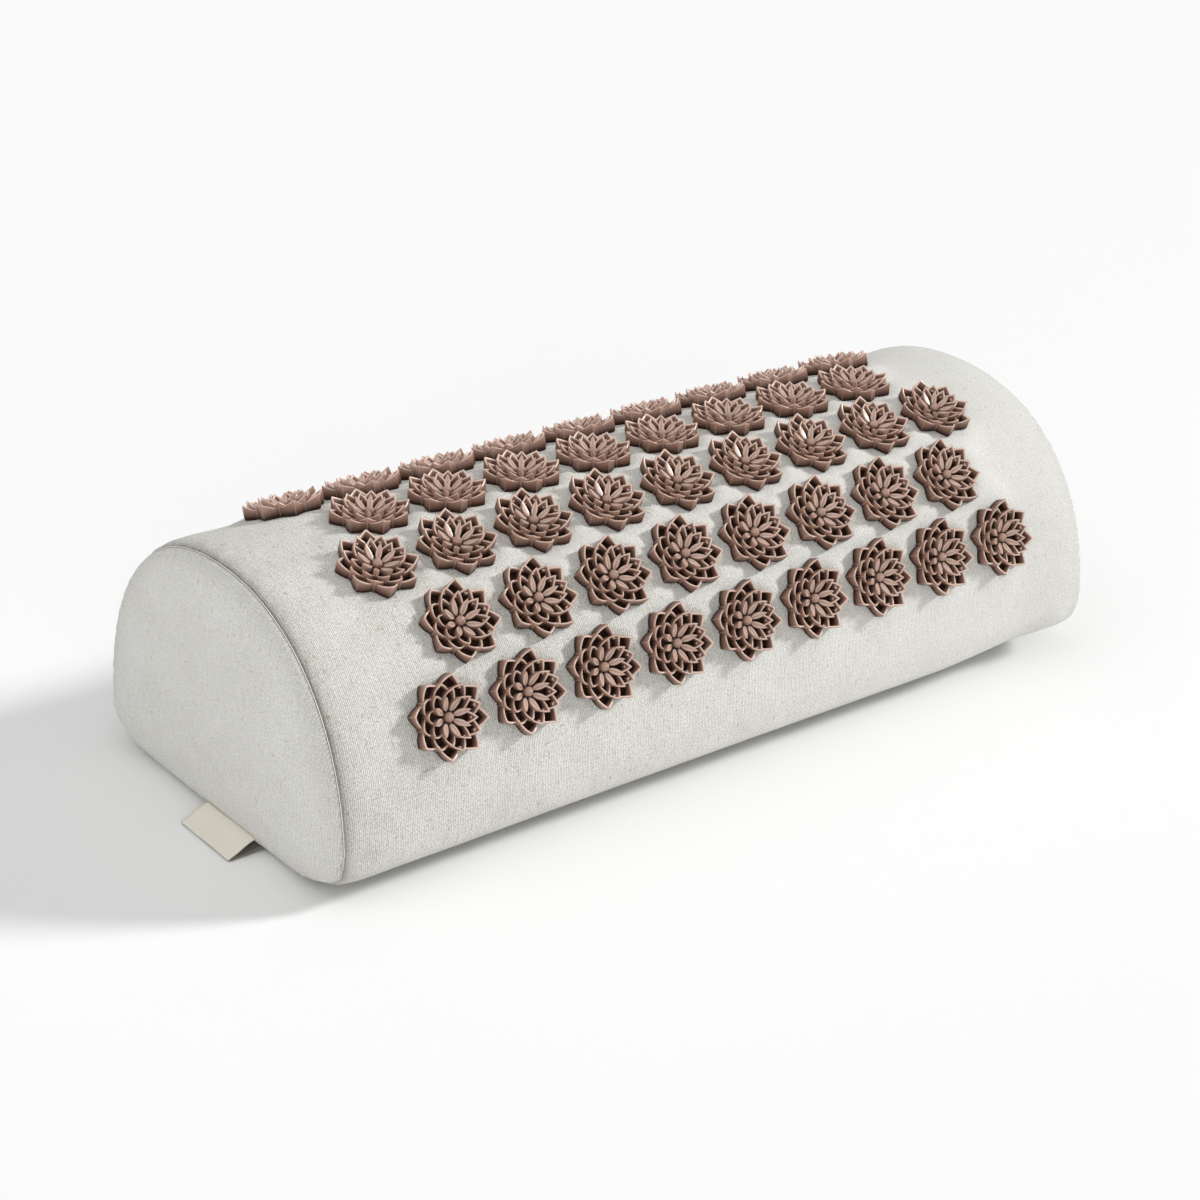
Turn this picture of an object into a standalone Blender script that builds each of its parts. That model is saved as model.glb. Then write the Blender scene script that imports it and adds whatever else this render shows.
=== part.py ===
# A half-moon acupressure pillow: a foam core in a removable linen cover,
# with seven rows of lotus-shaped spike discs, a side label and a coil zip.
# Metres, +X along the pillow, -Y the front, +Z up, the floor at zero.

import math

import bmesh
import bpy
from mathutils import Matrix, Vector

# Pillow
PILLOW_WIDTH = 0.1670
PILLOW_HEIGHT = 0.1076
BASE_FLAT_WIDTH = 0.0760
CORNER_HEIGHT = 0.0150
CROWN_POWER = 2.215
END_CROWN = 0.0070
END_POWER = 6.0
SEAM_DRAW_IN = 0.0024
SEAM_ROLL = 0.0140

# Cloth and running gaps
CLOTH = 0.0012
SEAT_GAP = 0.0003
CUT_OVERRUN = 0.0050

# Lotus discs
DISC_RADIUS = 0.0160
DISC_SPACING = 0.0036
END_MARGIN = 0.0310
ZIP_MARGIN = 0.0082
LONG_ROW_COUNT = 9
ROWS_EACH_SIDE = 3
SEPARATE_ROWS_BEHIND = 1
DISC_TURN = math.radians(-14.8)
WALL_HEIGHT = 0.0047
SECOND_RADIUS = 0.0127
SECOND_HEIGHT = 0.0057
THIRD_RADIUS = 0.0104
THIRD_HEIGHT = 0.0063
LEAF_RADIUS = 0.0071
LEAF_HEIGHT = 0.0070
SPIKE_HEIGHT = 0.0078
PLATE = 0.0010
LINK_WIDTH = 0.0040
LINK_LIFT_SHARE = 0.2

# Label
LABEL_WIDTH = 0.0340
LABEL_CENTRE = -0.0120
LABEL_REACH = 0.0150
LABEL_RISE = 0.0058
LABEL_CLOTH = 0.0005
LABEL_FOLD_GAP = 0.0004

# Zip
ZIP_END_ROOM = 0.0250
ZIP_FACE_MARGIN = 0.0006
SLOT_MARGIN = 0.0007
TAPE_WIDTH = 0.0105
TAPE_THICKNESS = 0.0006
TAPE_TAIL = 0.0060
COIL_WIDTH = 0.0019
COIL_HEIGHT = 0.0016
COIL_END_ROOM = 0.0020
POST_THICKNESS = 0.0012
SLIDER_LENGTH = 0.0110
SLIDER_WIDTH = 0.0084
SLIDER_PLATE = 0.0012
SLIDER_BACK_PLATE = 0.0010
POST_LENGTH = 0.0030
SLIDER_EDGE = 0.0003
STOP_LENGTH = 0.0030
STOP_THICKNESS = 0.0008
BRIDGE_LENGTH = 0.0052
BRIDGE_WIDTH = 0.0014
BRIDGE_BAR = 0.0010
PULL_LENGTH = 0.0240
PULL_WIDTH = 0.0052
PULL_THICKNESS = 0.0010
PULL_EYE_ROOM = 0.0005
JOIN_DEPTH = 0.0004
COIL_EDGE_SHARE = 0.3

# Counts and angles
CROWN_STEPS = 10
CORNER_STEPS = 5
CURVE_STEPS = 400
PETALS = 8
PULL_END_STEPS = 6
SHARP_ANGLE = math.radians(40)

# The longest row and its bare margins set the pillow's length
disc_pitch = 2 * DISC_RADIUS + DISC_SPACING
seam_length = (LONG_ROW_COUNT - 1) * disc_pitch + 2 * DISC_RADIUS + 2 * END_MARGIN
half_length = seam_length / 2
half_width = PILLOW_WIDTH / 2
half_base = BASE_FLAT_WIDTH / 2
crown_height = PILLOW_HEIGHT - CORNER_HEIGHT

# Places across the zip, from the middle of its chain
chain_edge = POST_THICKNESS / 2 + SEAT_GAP
chain_side = chain_edge + COIL_WIDTH
tape_side = chain_edge + TAPE_WIDTH
slot_side = chain_side + SLOT_MARGIN
zip_face_height = 2 * (tape_side + ZIP_FACE_MARGIN)
half_zip = half_length - SEAM_ROLL - ZIP_END_ROOM

for old in list(bpy.data.objects):
    bpy.data.objects.remove(old)


def new_collection(name):
    collection = bpy.data.collections.new(name)
    bpy.context.scene.collection.children.link(collection)
    return collection


parts = new_collection("acupressure_pillow")
cutters = new_collection("cutters")


def finish(name, colour, roughness, metallic=0.0):
    material = bpy.data.materials.new(name)
    material.use_nodes = True
    shader = material.node_tree.nodes["Principled BSDF"]
    shader.inputs["Base Color"].default_value = (*colour, 1.0)
    shader.inputs["Roughness"].default_value = roughness
    shader.inputs["Metallic"].default_value = metallic
    return material


linen = finish("linen", (0.68, 0.66, 0.60), 0.95)
lotus_plastic = finish("lotus_plastic", (0.30, 0.19, 0.16), 0.45)
label_tape = finish("label_tape", (0.70, 0.64, 0.53), 0.90)
core_foam = finish("core_foam", (0.85, 0.82, 0.72), 1.00)
zip_tape = finish("zip_tape", (0.66, 0.64, 0.58), 0.90)
zip_coil = finish("zip_coil", (0.70, 0.68, 0.62), 0.50)
zip_metal = finish("zip_metal", (0.60, 0.60, 0.60), 0.35, 1.0)


def add_part(name, mesh, material, collection=parts):
    part = bpy.data.objects.new(name, mesh)
    if not mesh.materials:
        mesh.materials.append(material)
    collection.objects.link(part)
    return part


def mesh_from(bm, name):
    bmesh.ops.recalc_face_normals(bm, faces=bm.faces)
    mesh = bpy.data.meshes.new(name)
    bm.to_mesh(mesh)
    bm.free()
    return mesh


def loft(name, rings, tips=None, closed=False, folds=None):
    """Faces between rings of equal count. Two tips close the ends, closed joins the last ring to the first,
    and folds says for each ring whether its faces fold from the even or the odd points."""
    bm = bmesh.new()
    rows = [[bm.verts.new(point) for point in ring] for ring in rings]
    pairs = list(zip(rows, rows[1:]))
    if closed:
        pairs.append((rows[-1], rows[0]))
    count = len(rings[0])
    for k, (low, high) in enumerate(pairs):
        for i in range(count):
            j = (i + 1) % count
            if folds is None:
                bm.faces.new((low[i], low[j], high[j], high[i]))
            elif i % 2 == folds[k]:
                bm.faces.new((low[i], low[j], high[j]))
                bm.faces.new((low[i], high[j], high[i]))
            else:
                bm.faces.new((low[i], low[j], high[i]))
                bm.faces.new((low[j], high[j], high[i]))
    if tips:
        for row, tip in ((rows[0], tips[0]), (rows[-1], tips[1])):
            if tip is None:
                bm.faces.new(row)
                continue
            point = bm.verts.new(tip)
            for i in range(count):
                bm.faces.new((row[i], row[(i + 1) % count], point))
    return mesh_from(bm, name)


def box_mesh(name, low, high):
    """A box between two corners, made from a unit cube."""
    bm = bmesh.new()
    bmesh.ops.create_cube(bm, size=1.0)
    size = [b - a for a, b in zip(low, high)]
    middle = [(a + b) / 2 for a, b in zip(low, high)]
    bmesh.ops.transform(bm, matrix=Matrix.Translation(middle) @ Matrix.Diagonal((*size, 1.0)), verts=bm.verts)
    return mesh_from(bm, name)


def cutter(name, low, high, parent=None):
    part = add_part(name, box_mesh(name, low, high), None, cutters)
    part.hide_render = True
    part.display_type = "WIRE"
    part.parent = parent
    return part


def boolean(part, tool, operation="DIFFERENCE"):
    step = part.modifiers.new(tool.name, "BOOLEAN")
    step.operation = operation
    step.solver = "EXACT"
    step.object = tool


def bevel(part, width, segments=1):
    step = part.modifiers.new("rounded_edges", "BEVEL")
    step.width = width
    step.segments = segments
    step.limit_method = "ANGLE"
    step.angle_limit = SHARP_ANGLE


# The half-moon section: a superellipse crown over low elliptical corners and a flat base
def crown_at(share):
    """A point of the crown, from the top at 0 to the widest line at 1."""
    angle = share * math.pi / 2
    y = half_width * max(math.sin(angle), 0.0) ** (2 / CROWN_POWER)
    z = CORNER_HEIGHT + crown_height * max(math.cos(angle), 0.0) ** (2 / CROWN_POWER)
    return y, z


crown_curve = [crown_at(i / CURVE_STEPS) for i in range(CURVE_STEPS + 1)]
crown_arc = [0.0]
for before, after in zip(crown_curve, crown_curve[1:]):
    crown_arc.append(crown_arc[-1] + math.dist(before, after))


def along_crown(distance):
    """The point and the outward direction at a distance along the crown from its top."""
    i = next(k for k, arc in enumerate(crown_arc) if k and arc >= min(distance, crown_arc[-1]))
    (y0, z0), (y1, z1) = crown_curve[i - 1], crown_curve[i]
    share = (distance - crown_arc[i - 1]) / (crown_arc[i] - crown_arc[i - 1])
    length = math.dist((y0, z0), (y1, z1))
    return (y0 + share * (y1 - y0), z0 + share * (z1 - z0)), ((z0 - z1) / length, (y1 - y0) / length)


# The zip lies on a flat of the rear wall, just over the widest line
zip_face_top = next(i for i, (y, z) in enumerate(crown_curve) if z <= CORNER_HEIGHT + zip_face_height)
zip_face_arc = crown_arc[zip_face_top]
facet_top = crown_curve[zip_face_top]
facet_foot = (half_width, CORNER_HEIGHT)


def half_section():
    """Half of the section, from the middle of the crown to the middle of the base."""
    points = [along_crown(zip_face_arc * i / CROWN_STEPS)[0] for i in range(1, CROWN_STEPS)]
    points = [(0.0, PILLOW_HEIGHT)] + points + [facet_top, facet_foot]
    for i in range(1, CORNER_STEPS + 1):
        angle = math.pi / 2 * i / CORNER_STEPS
        y = half_base + (half_width - half_base) * math.cos(angle)
        points.append((y, CORNER_HEIGHT * (1 - math.sin(angle))))
    points.append((0.0, 0.0))
    return points


def section(inset):
    """The whole section, drawn in by the same distance on every side."""
    rear = half_section()
    front = [(-y, z) for y, z in reversed(rear[1:-1])]
    outline = rear + front
    count = len(outline)
    moved = []
    for i, (y, z) in enumerate(outline):
        before = outline[i - 1]
        after = outline[(i + 1) % count]
        sides = []
        for (ya, za), (yb, zb) in ((before, (y, z)), ((y, z), after)):
            length = math.dist((ya, za), (yb, zb))
            sides.append(((za - zb) / length, (yb - ya) / length))
        (ny, nz), (my, mz) = sides
        reach = inset / (1 + ny * my + nz * mz)
        moved.append((y - reach * (ny + my), z - reach * (nz + mz)))
    return moved


STATION_SHARES = (0.0, 0.12, 0.4, 1.0)
RING_SHARES = (0.985, 0.94, 0.84, 0.62, 0.32)
MIDDLE_SHARE = 0.42


def draw_in(share):
    """How far the cover is drawn in at a share of the rolled edge from the seam."""
    return SEAM_DRAW_IN * (1 - math.sqrt(1 - (1 - share) ** 2))


def tube_rings(inset):
    """Sections along the pillow, from the left seam to the right one."""
    left = [(-half_length + SEAM_ROLL * s, draw_in(s)) for s in STATION_SHARES]
    right = [(-x, pull) for x, pull in reversed(left)]
    return [[(x, y, z) for y, z in section(inset + pull)] for x, pull in left + right]


def end_rings(side, inset, start, crown):
    """Crowned rings from the seam towards the middle of an end, and the point they close on."""
    rim = section(SEAM_DRAW_IN + inset)
    middle_z = PILLOW_HEIGHT * MIDDLE_SHARE
    rings = []
    for share in (1.0,) + RING_SHARES:
        x = side * (half_length + start + crown * math.sqrt(1 - share ** END_POWER))
        rings.append([(x, y * share, middle_z + (z - middle_z) * share) for y, z in rim])
    return rings, (side * (half_length + start + crown), 0.0, middle_z)


# Cover
def make_wrap_panel():
    outer = tube_rings(0.0)
    inner = tube_rings(CLOTH)
    mesh = loft("wrap_panel", outer + inner[::-1], closed=True)
    return add_part("wrap_panel", mesh, linen)


def make_end_panel(name, side):
    outer, outer_tip = end_rings(side, 0.0, SEAT_GAP, END_CROWN)
    inner, inner_tip = end_rings(side, CLOTH, SEAT_GAP, END_CROWN - CLOTH)
    mesh = loft(name, inner[::-1] + outer, tips=(inner_tip, outer_tip))
    return add_part(name, mesh, linen)


def make_foam_core():
    inset = CLOTH + SEAT_GAP
    left, left_tip = end_rings(-1, inset, 0.0, END_CROWN - CLOTH)
    right, right_tip = end_rings(1, inset, 0.0, END_CROWN - CLOTH)
    rings = left[:0:-1] + tube_rings(inset) + right[1:]
    mesh = loft("foam_core", rings, tips=(left_tip, right_tip))
    return add_part("foam_core", mesh, core_foam)


wrap_panel = make_wrap_panel()
make_end_panel("end_panel_left", -1)
make_end_panel("end_panel_right", 1)
foam_core = make_foam_core()


# Label: a bare tape folded in two, caught in the left seam and lying down to the floor
LABEL_REACH_SHARES = (0.03, 0.15, 0.28, 0.46, 0.68, 0.88, 0.985)
LABEL_RISE_SHARES = (0.0, 0.10, 0.35, 1.0, 0.75, 0.30, 0.0)


def make_label():
    """The upper layer runs out along its path, turns at the fold and comes back below itself."""
    foot = SEAM_DRAW_IN - SEAT_GAP - LABEL_CLOTH / 2
    upper = [
        Vector((-half_length - LABEL_REACH * along, foot + (LABEL_RISE - foot) * up))
        for along, up in zip(LABEL_REACH_SHARES, LABEL_RISE_SHARES)
    ]
    apart = LABEL_CLOTH + LABEL_FOLD_GAP
    lower = []
    for i, point in enumerate(upper):
        way = (upper[min(i + 1, len(upper) - 1)] - upper[max(i - 1, 0)]).normalized()
        lower.append(point + Vector((-way.y, way.x)) * apart)
    fold = (upper[-1] + lower[-1]) / 2 + (upper[-1] - upper[-2]).normalized() * apart / 2
    path = upper + [fold] + lower[::-1]
    bm = bmesh.new()
    sides = [LABEL_CENTRE - LABEL_WIDTH / 2, LABEL_CENTRE + LABEL_WIDTH / 2]
    rows = [[bm.verts.new((point.x, y, point.y)) for y in sides] for point in path]
    for low, high in zip(rows, rows[1:]):
        bm.faces.new((low[0], low[1], high[1], high[0]))
    label = add_part("side_label", mesh_from(bm, "side_label"), label_tape)
    skin = label.modifiers.new("tape_thickness", "SOLIDIFY")
    skin.thickness = LABEL_CLOTH
    skin.offset = 0.0
    skin.use_even_offset = True


make_label()


# Discs: eight petals in rings of rising height, round a pointed middle
def star(radius, height, between_radius, between_height, turned=False):
    """A ring of points that alternate between a tip and the place between two tips."""
    ring = []
    for i in range(2 * PETALS):
        angle = math.pi * i / PETALS
        at_tip = (i % 2 == 0) != turned
        r, z = (radius, height) if at_tip else (between_radius, between_height)
        ring.append((r * math.cos(angle), r * math.sin(angle), z))
    return ring


VALLEY_SHARE = 0.82
VALLEY_HEIGHT_SHARE = 0.80
CAVITY_SHARE = 0.92
CAVITY_HEIGHT_SHARE = 0.45
LEAF_FOOT_SHARE = 0.55
LEAF_TOP_SHARE = 0.42


def make_disc_mesh():
    valley = DISC_RADIUS * VALLEY_SHARE
    floor = WALL_HEIGHT * CAVITY_HEIGHT_SHARE
    rings = [
        star(DISC_RADIUS, 0.0, valley, 0.0),
        star(DISC_RADIUS, WALL_HEIGHT, valley, WALL_HEIGHT * VALLEY_HEIGHT_SHARE),
        star(SECOND_RADIUS, SECOND_HEIGHT, SECOND_RADIUS * CAVITY_SHARE, floor, turned=True),
        star(THIRD_RADIUS, THIRD_HEIGHT, THIRD_RADIUS * CAVITY_SHARE, floor),
        star(LEAF_RADIUS, LEAF_HEIGHT, LEAF_RADIUS * CAVITY_SHARE, floor, turned=True),
        star(LEAF_RADIUS * LEAF_TOP_SHARE, WALL_HEIGHT, LEAF_RADIUS * LEAF_FOOT_SHARE, floor, turned=True),
    ]
    folds = (0, 0, 1, 0, 1)
    return loft("lotus_disc", rings, tips=(None, (0.0, 0.0, SPIKE_HEIGHT)), folds=folds)


disc_mesh = make_disc_mesh()


# Rows run from the front, with a short one on top and the last one a margin above the zip
row_pitch = (zip_face_arc - ZIP_MARGIN - DISC_RADIUS) / ROWS_EACH_SIDE
top_row = ROWS_EACH_SIDE + 1
row_count = 2 * ROWS_EACH_SIDE + 1


def row_size(row):
    return LONG_ROW_COUNT - (row - top_row + 1) % 2


def disc_matrix(row, column):
    """Where a disc stands, its columns counted from the left."""
    x = (column - (row_size(row) + 1) / 2) * disc_pitch
    from_top = (top_row - row) * row_pitch
    (y, z), (ny, nz) = along_crown(abs(from_top))
    side = -1 if from_top > 0 else 1
    place = Vector((x, side * (y + ny * SEAT_GAP), z + nz * SEAT_GAP))
    lean = math.atan2(-side * ny, nz)
    return Matrix.Translation(place) @ Matrix.Rotation(lean, 4, "X") @ Matrix.Rotation(DISC_TURN, 4, "Z")


def make_separate_row(row):
    for column in range(1, row_size(row) + 1):
        disc = add_part(f"lotus_disc_{row}_{column}", disc_mesh, lotus_plastic)
        disc.matrix_world = disc_matrix(row, column)


def make_joined_row(row):
    """A far row is one piece: its discs are joined by a thin strip within their plates."""
    count = row_size(row)
    ends = [disc_matrix(row, 1), disc_matrix(row, count)]
    half_run = (ends[1].translation.x - ends[0].translation.x) / 2
    low = (-half_run, -LINK_WIDTH / 2, PLATE * LINK_LIFT_SHARE)
    high = (half_run, LINK_WIDTH / 2, PLATE)
    strip = add_part(f"lotus_disc_row_{row}", box_mesh(f"lotus_disc_row_{row}", low, high), lotus_plastic)
    place = ends[0] @ Matrix.Rotation(-DISC_TURN, 4, "Z")
    place.translation.x = 0.0
    strip.matrix_world = place
    for column in range(1, count + 1):
        tool = add_part(f"disc_tool_{row}_{column}", disc_mesh, lotus_plastic, cutters)
        tool.matrix_world = disc_matrix(row, column)
        tool.hide_render = True
        tool.display_type = "WIRE"
        boolean(strip, tool, "UNION")


for row in range(1, row_count + 1):
    if row - top_row <= SEPARATE_ROWS_BEHIND:
        make_separate_row(row)
    else:
        make_joined_row(row)


# Zip: everything stands in a frame on the rear wall, Y out of the cloth and Z up the wall
zip_lean = math.atan2(facet_foot[0] - facet_top[0], facet_top[1] - facet_foot[1])
zip_frame = bpy.data.objects.new("zip_frame", None)
parts.objects.link(zip_frame)
zip_frame.location = (0.0, (facet_foot[0] + facet_top[0]) / 2, (facet_foot[1] + facet_top[1]) / 2)
zip_frame.rotation_euler.x = zip_lean

tape_face = -CLOTH - SEAT_GAP
tape_back = tape_face - TAPE_THICKNESS
coil_base = tape_face + SEAT_GAP
coil_top = coil_base + COIL_HEIGHT
half_coil = half_zip - COIL_END_ROOM

slot = cutter(
    "zip_slot",
    (-half_zip, -CLOTH - CUT_OVERRUN, -slot_side),
    (half_zip, CUT_OVERRUN, slot_side),
    zip_frame,
)
boolean(wrap_panel, slot)

back_plate_face = tape_back - SEAT_GAP
back_plate_back = back_plate_face - SLIDER_BACK_PLATE
half_tape = half_zip + TAPE_TAIL
foam_tape_relief = cutter(
    "foam_tape_relief",
    (-half_tape - SEAT_GAP, tape_back - SEAT_GAP, -tape_side - SEAT_GAP),
    (half_tape + SEAT_GAP, CUT_OVERRUN, tape_side + SEAT_GAP),
    zip_frame,
)
foam_slider_relief = cutter(
    "foam_slider_relief",
    (-half_zip, back_plate_back - SEAT_GAP, -SLIDER_WIDTH / 2 - SEAT_GAP),
    (half_zip, CUT_OVERRUN, SLIDER_WIDTH / 2 + SEAT_GAP),
    zip_frame,
)
boolean(foam_core, foam_tape_relief)
boolean(foam_core, foam_slider_relief)


def zip_box(name, low, high, material, parent=zip_frame, edge=0.0):
    part = add_part(name, box_mesh(name, low, high), material)
    part.parent = parent
    if edge:
        bevel(part, edge)
    return part


def mirrored(low, high, side):
    """The same box above the chain's middle or, with side -1, below it."""
    bottom, top = sorted((side * low[2], side * high[2]))
    return (low[0], low[1], bottom), (high[0], high[1], top)


for word, side in (("upper", 1), ("lower", -1)):
    low, high = mirrored((-half_tape, tape_back, chain_edge), (half_tape, tape_face, tape_side), side)
    zip_box(f"zip_tape_{word}", low, high, zip_tape)
    low, high = mirrored((-half_coil, coil_base, chain_edge), (half_coil, coil_top, chain_side), side)
    zip_box(f"zip_coil_{word}", low, high, zip_coil, edge=COIL_HEIGHT * COIL_EDGE_SHARE)
    stop_low = (half_coil - STOP_LENGTH, coil_top + SEAT_GAP, chain_edge)
    stop_high = (half_coil, coil_top + SEAT_GAP + STOP_THICKNESS, chain_side)
    low, high = mirrored(stop_low, stop_high, side)
    zip_box(f"top_stop_{word}", low, high, zip_metal)

zip_box(
    "bottom_stop",
    (-half_coil, coil_top + SEAT_GAP, -chain_side),
    (-half_coil + STOP_LENGTH, coil_top + SEAT_GAP + STOP_THICKNESS, chain_side),
    zip_metal,
)

# Slider: it rests closed against the top stops and runs to the bottom stop
slider_room = STOP_LENGTH + SEAT_GAP + SLIDER_LENGTH / 2
slider_frame = bpy.data.objects.new("slider_frame", None)
parts.objects.link(slider_frame)
slider_frame.parent = zip_frame
slider_frame.location.x = half_coil - slider_room
slider_travel = 2 * (half_coil - slider_room)

half_slider = SLIDER_LENGTH / 2
plate_face = coil_top + SEAT_GAP
plate_top = plate_face + SLIDER_PLATE
slider = zip_box(
    "zip_slider",
    (-half_slider, plate_face, -SLIDER_WIDTH / 2),
    (half_slider, plate_top, SLIDER_WIDTH / 2),
    zip_metal,
    slider_frame,
    SLIDER_EDGE,
)
slider_back = cutter(
    "slider_back",
    (-half_slider, back_plate_back, -SLIDER_WIDTH / 2),
    (half_slider, back_plate_face, SLIDER_WIDTH / 2),
    slider_frame,
)
post_start = half_slider - POST_LENGTH - SLIDER_EDGE
slider_post = cutter(
    "slider_post",
    (post_start, back_plate_back + JOIN_DEPTH, -POST_THICKNESS / 2),
    (post_start + POST_LENGTH, plate_top - JOIN_DEPTH, POST_THICKNESS / 2),
    slider_frame,
)

# The pull's cross bar lies under the bridge and turns about its own middle
pull_pivot = plate_top + SEAT_GAP + PULL_THICKNESS / 2
bridge_inside = pull_pivot + PULL_THICKNESS / 2 + SEAT_GAP
half_bridge = BRIDGE_LENGTH / 2
slider_bridge = cutter(
    "slider_bridge",
    (-half_bridge, plate_top - JOIN_DEPTH, -BRIDGE_WIDTH / 2),
    (half_bridge, bridge_inside + BRIDGE_BAR, BRIDGE_WIDTH / 2),
    slider_frame,
)
bridge_hole = cutter(
    "bridge_hole",
    (-half_bridge + BRIDGE_BAR, plate_top, -BRIDGE_WIDTH),
    (half_bridge - BRIDGE_BAR, bridge_inside, BRIDGE_WIDTH),
    slider_frame,
)
boolean(slider_bridge, bridge_hole)
for piece in (slider_post, slider_back, slider_bridge):
    boolean(slider, piece, "UNION")


def add_outline(curve, points):
    spline = curve.splines.new("POLY")
    spline.points.add(len(points) - 1)
    for point, (x, y) in zip(spline.points, points):
        point.co = (x, y, 0.0, 1.0)
    spline.use_cyclic_u = True


def make_pull():
    """A flat tab with a round end and an eye for the bridge, lying back along the chain."""
    half_width_of_pull = PULL_WIDTH / 2
    half_thick = PULL_THICKNESS / 2
    curve = bpy.data.curves.new("zip_pull", "CURVE")
    curve.dimensions = "2D"
    curve.fill_mode = "BOTH"
    curve.extrude = half_thick
    end_middle = -PULL_LENGTH + half_width_of_pull
    outline = [(half_thick, -half_width_of_pull), (half_thick, half_width_of_pull)]
    for i in range(PULL_END_STEPS + 1):
        angle = math.pi / 2 + math.pi * i / PULL_END_STEPS
        x = end_middle + half_width_of_pull * math.cos(angle)
        outline.append((x, half_width_of_pull * math.sin(angle)))
    add_outline(curve, outline)
    eye_side = BRIDGE_WIDTH / 2 + SEAT_GAP
    bridge_reach = math.hypot(half_bridge, bridge_inside + BRIDGE_BAR - pull_pivot)
    eye_end = -bridge_reach - PULL_EYE_ROOM
    eye = [(-half_thick, -eye_side), (eye_end, -eye_side), (eye_end, eye_side), (-half_thick, eye_side)]
    add_outline(curve, eye)
    pull = bpy.data.objects.new("zip_pull", curve)
    curve.materials.append(zip_metal)
    parts.objects.link(pull)
    pull.parent = slider_frame
    pull.location.y = pull_pivot
    pull.rotation_euler.x = -math.pi / 2


make_pull()

for name in ("wrap_panel", "end_panel_left", "end_panel_right", "foam_core"):
    mesh = bpy.data.objects[name].data
    mesh.shade_smooth()
    mesh.set_sharp_from_angle(angle=SHARP_ANGLE)

bpy.context.view_layer.update()
pivot = slider_frame.matrix_world @ Vector((0.0, pull_pivot, 0.0))
up_the_wall = zip_frame.matrix_world.to_3x3() @ Vector((0.0, 0.0, 1.0))
print("slider travel", round(slider_travel, 5))
print("pull pivot", [round(value, 6) for value in pivot])
print("pull axis", [round(value, 6) for value in up_the_wall])
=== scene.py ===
# Acupressure pillow: a linen cover over a half-moon foam block, lotus spike discs,
# a bare side label and a zip in the rear wall.
import math

import bpy
import numpy as np
from mathutils import Matrix, Vector


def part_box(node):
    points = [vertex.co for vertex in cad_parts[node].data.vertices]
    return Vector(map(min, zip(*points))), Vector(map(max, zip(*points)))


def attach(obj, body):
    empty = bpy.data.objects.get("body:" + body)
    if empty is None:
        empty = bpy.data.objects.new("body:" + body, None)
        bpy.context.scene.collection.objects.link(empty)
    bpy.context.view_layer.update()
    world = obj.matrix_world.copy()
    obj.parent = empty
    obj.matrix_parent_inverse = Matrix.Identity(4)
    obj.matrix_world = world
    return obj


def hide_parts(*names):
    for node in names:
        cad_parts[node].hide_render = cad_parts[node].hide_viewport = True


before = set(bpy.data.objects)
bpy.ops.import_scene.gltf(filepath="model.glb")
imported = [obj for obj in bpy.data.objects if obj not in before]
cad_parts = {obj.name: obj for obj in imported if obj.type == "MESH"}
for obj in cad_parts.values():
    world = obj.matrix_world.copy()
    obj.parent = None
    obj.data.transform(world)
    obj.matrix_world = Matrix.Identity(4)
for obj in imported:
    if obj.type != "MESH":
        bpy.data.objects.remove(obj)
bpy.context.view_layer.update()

print("model loaded:", len(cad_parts), "nodes")

_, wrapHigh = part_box("wrap_panel")
halfLength = wrapHigh.x
halfWidth = wrapHigh.y
pillowHeight = wrapHigh.z


# helpers for numpy surfaces
def gridFaces(rows, columns, closeColumns=False):  # quads between neighbours, numbered row by row
    across = columns if closeColumns else columns - 1
    r, c = np.meshgrid(np.arange(rows - 1), np.arange(across), indexing="ij")
    c2 = (c + 1) % columns
    quads = np.stack([r * columns + c, r * columns + c2, (r + 1) * columns + c2, (r + 1) * columns + c], -1)
    return quads.reshape(-1, 4)


def loopedFaces(rows, columns):  # the same on a ring, whose last row joins the first
    return gridFaces(rows + 1, columns, True) % (rows * columns)


def cappedFaces(rows, columns):  # closed rings, and a fan at each end to one of the two points that come last
    ring = np.arange(columns)
    after = (ring + 1) % columns
    last = (rows - 1) * columns
    first = np.stack([after, ring, np.full(columns, rows * columns)], -1)
    final = np.stack([ring + last, after + last, np.full(columns, rows * columns + 1)], -1)
    return gridFaces(rows, columns, True).tolist() + first.tolist() + final.tolist()


def gridUv(u, v, closeColumns=False, period=0.0):  # one uv pair for every corner of gridFaces
    across = len(v) if closeColumns else len(v) - 1
    r, c = np.meshgrid(np.arange(len(u) - 1), np.arange(across), indexing="ij")
    far = np.append(v, v[0] + period) if closeColumns else v
    corners = [(u[r], far[c]), (u[r], far[c + 1]), (u[r + 1], far[c + 1]), (u[r + 1], far[c])]
    return np.stack([np.stack(pair, -1) for pair in corners], -2).reshape(-1, 2)


def signedVolume(points, faces):  # sum of the fans' tetrahedra, positive when faces point outwards
    total = 0.0
    for face in faces:
        ring = points[np.asarray(face)]
        cross = np.cross(ring[1:-1], ring[2:])
        total += np.einsum("ij,ij->", cross, np.broadcast_to(ring[0], cross.shape))
    return total / 6


def facesOut(points, faces):  # a list of faces, turned where they point inwards
    return [face[::-1] for face in faces] if signedVolume(points, faces) < 0 else faces


def quadsOut(points, quads):  # the same for an array of quads, each taken as two triangles
    a, b, c, d = (points[quads[:, k]] for k in range(4))
    volume = np.einsum("ij,ij->", a, np.cross(b, c)) + np.einsum("ij,ij->", a, np.cross(c, d))
    return quads[:, ::-1] if volume < 0 else quads


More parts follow.
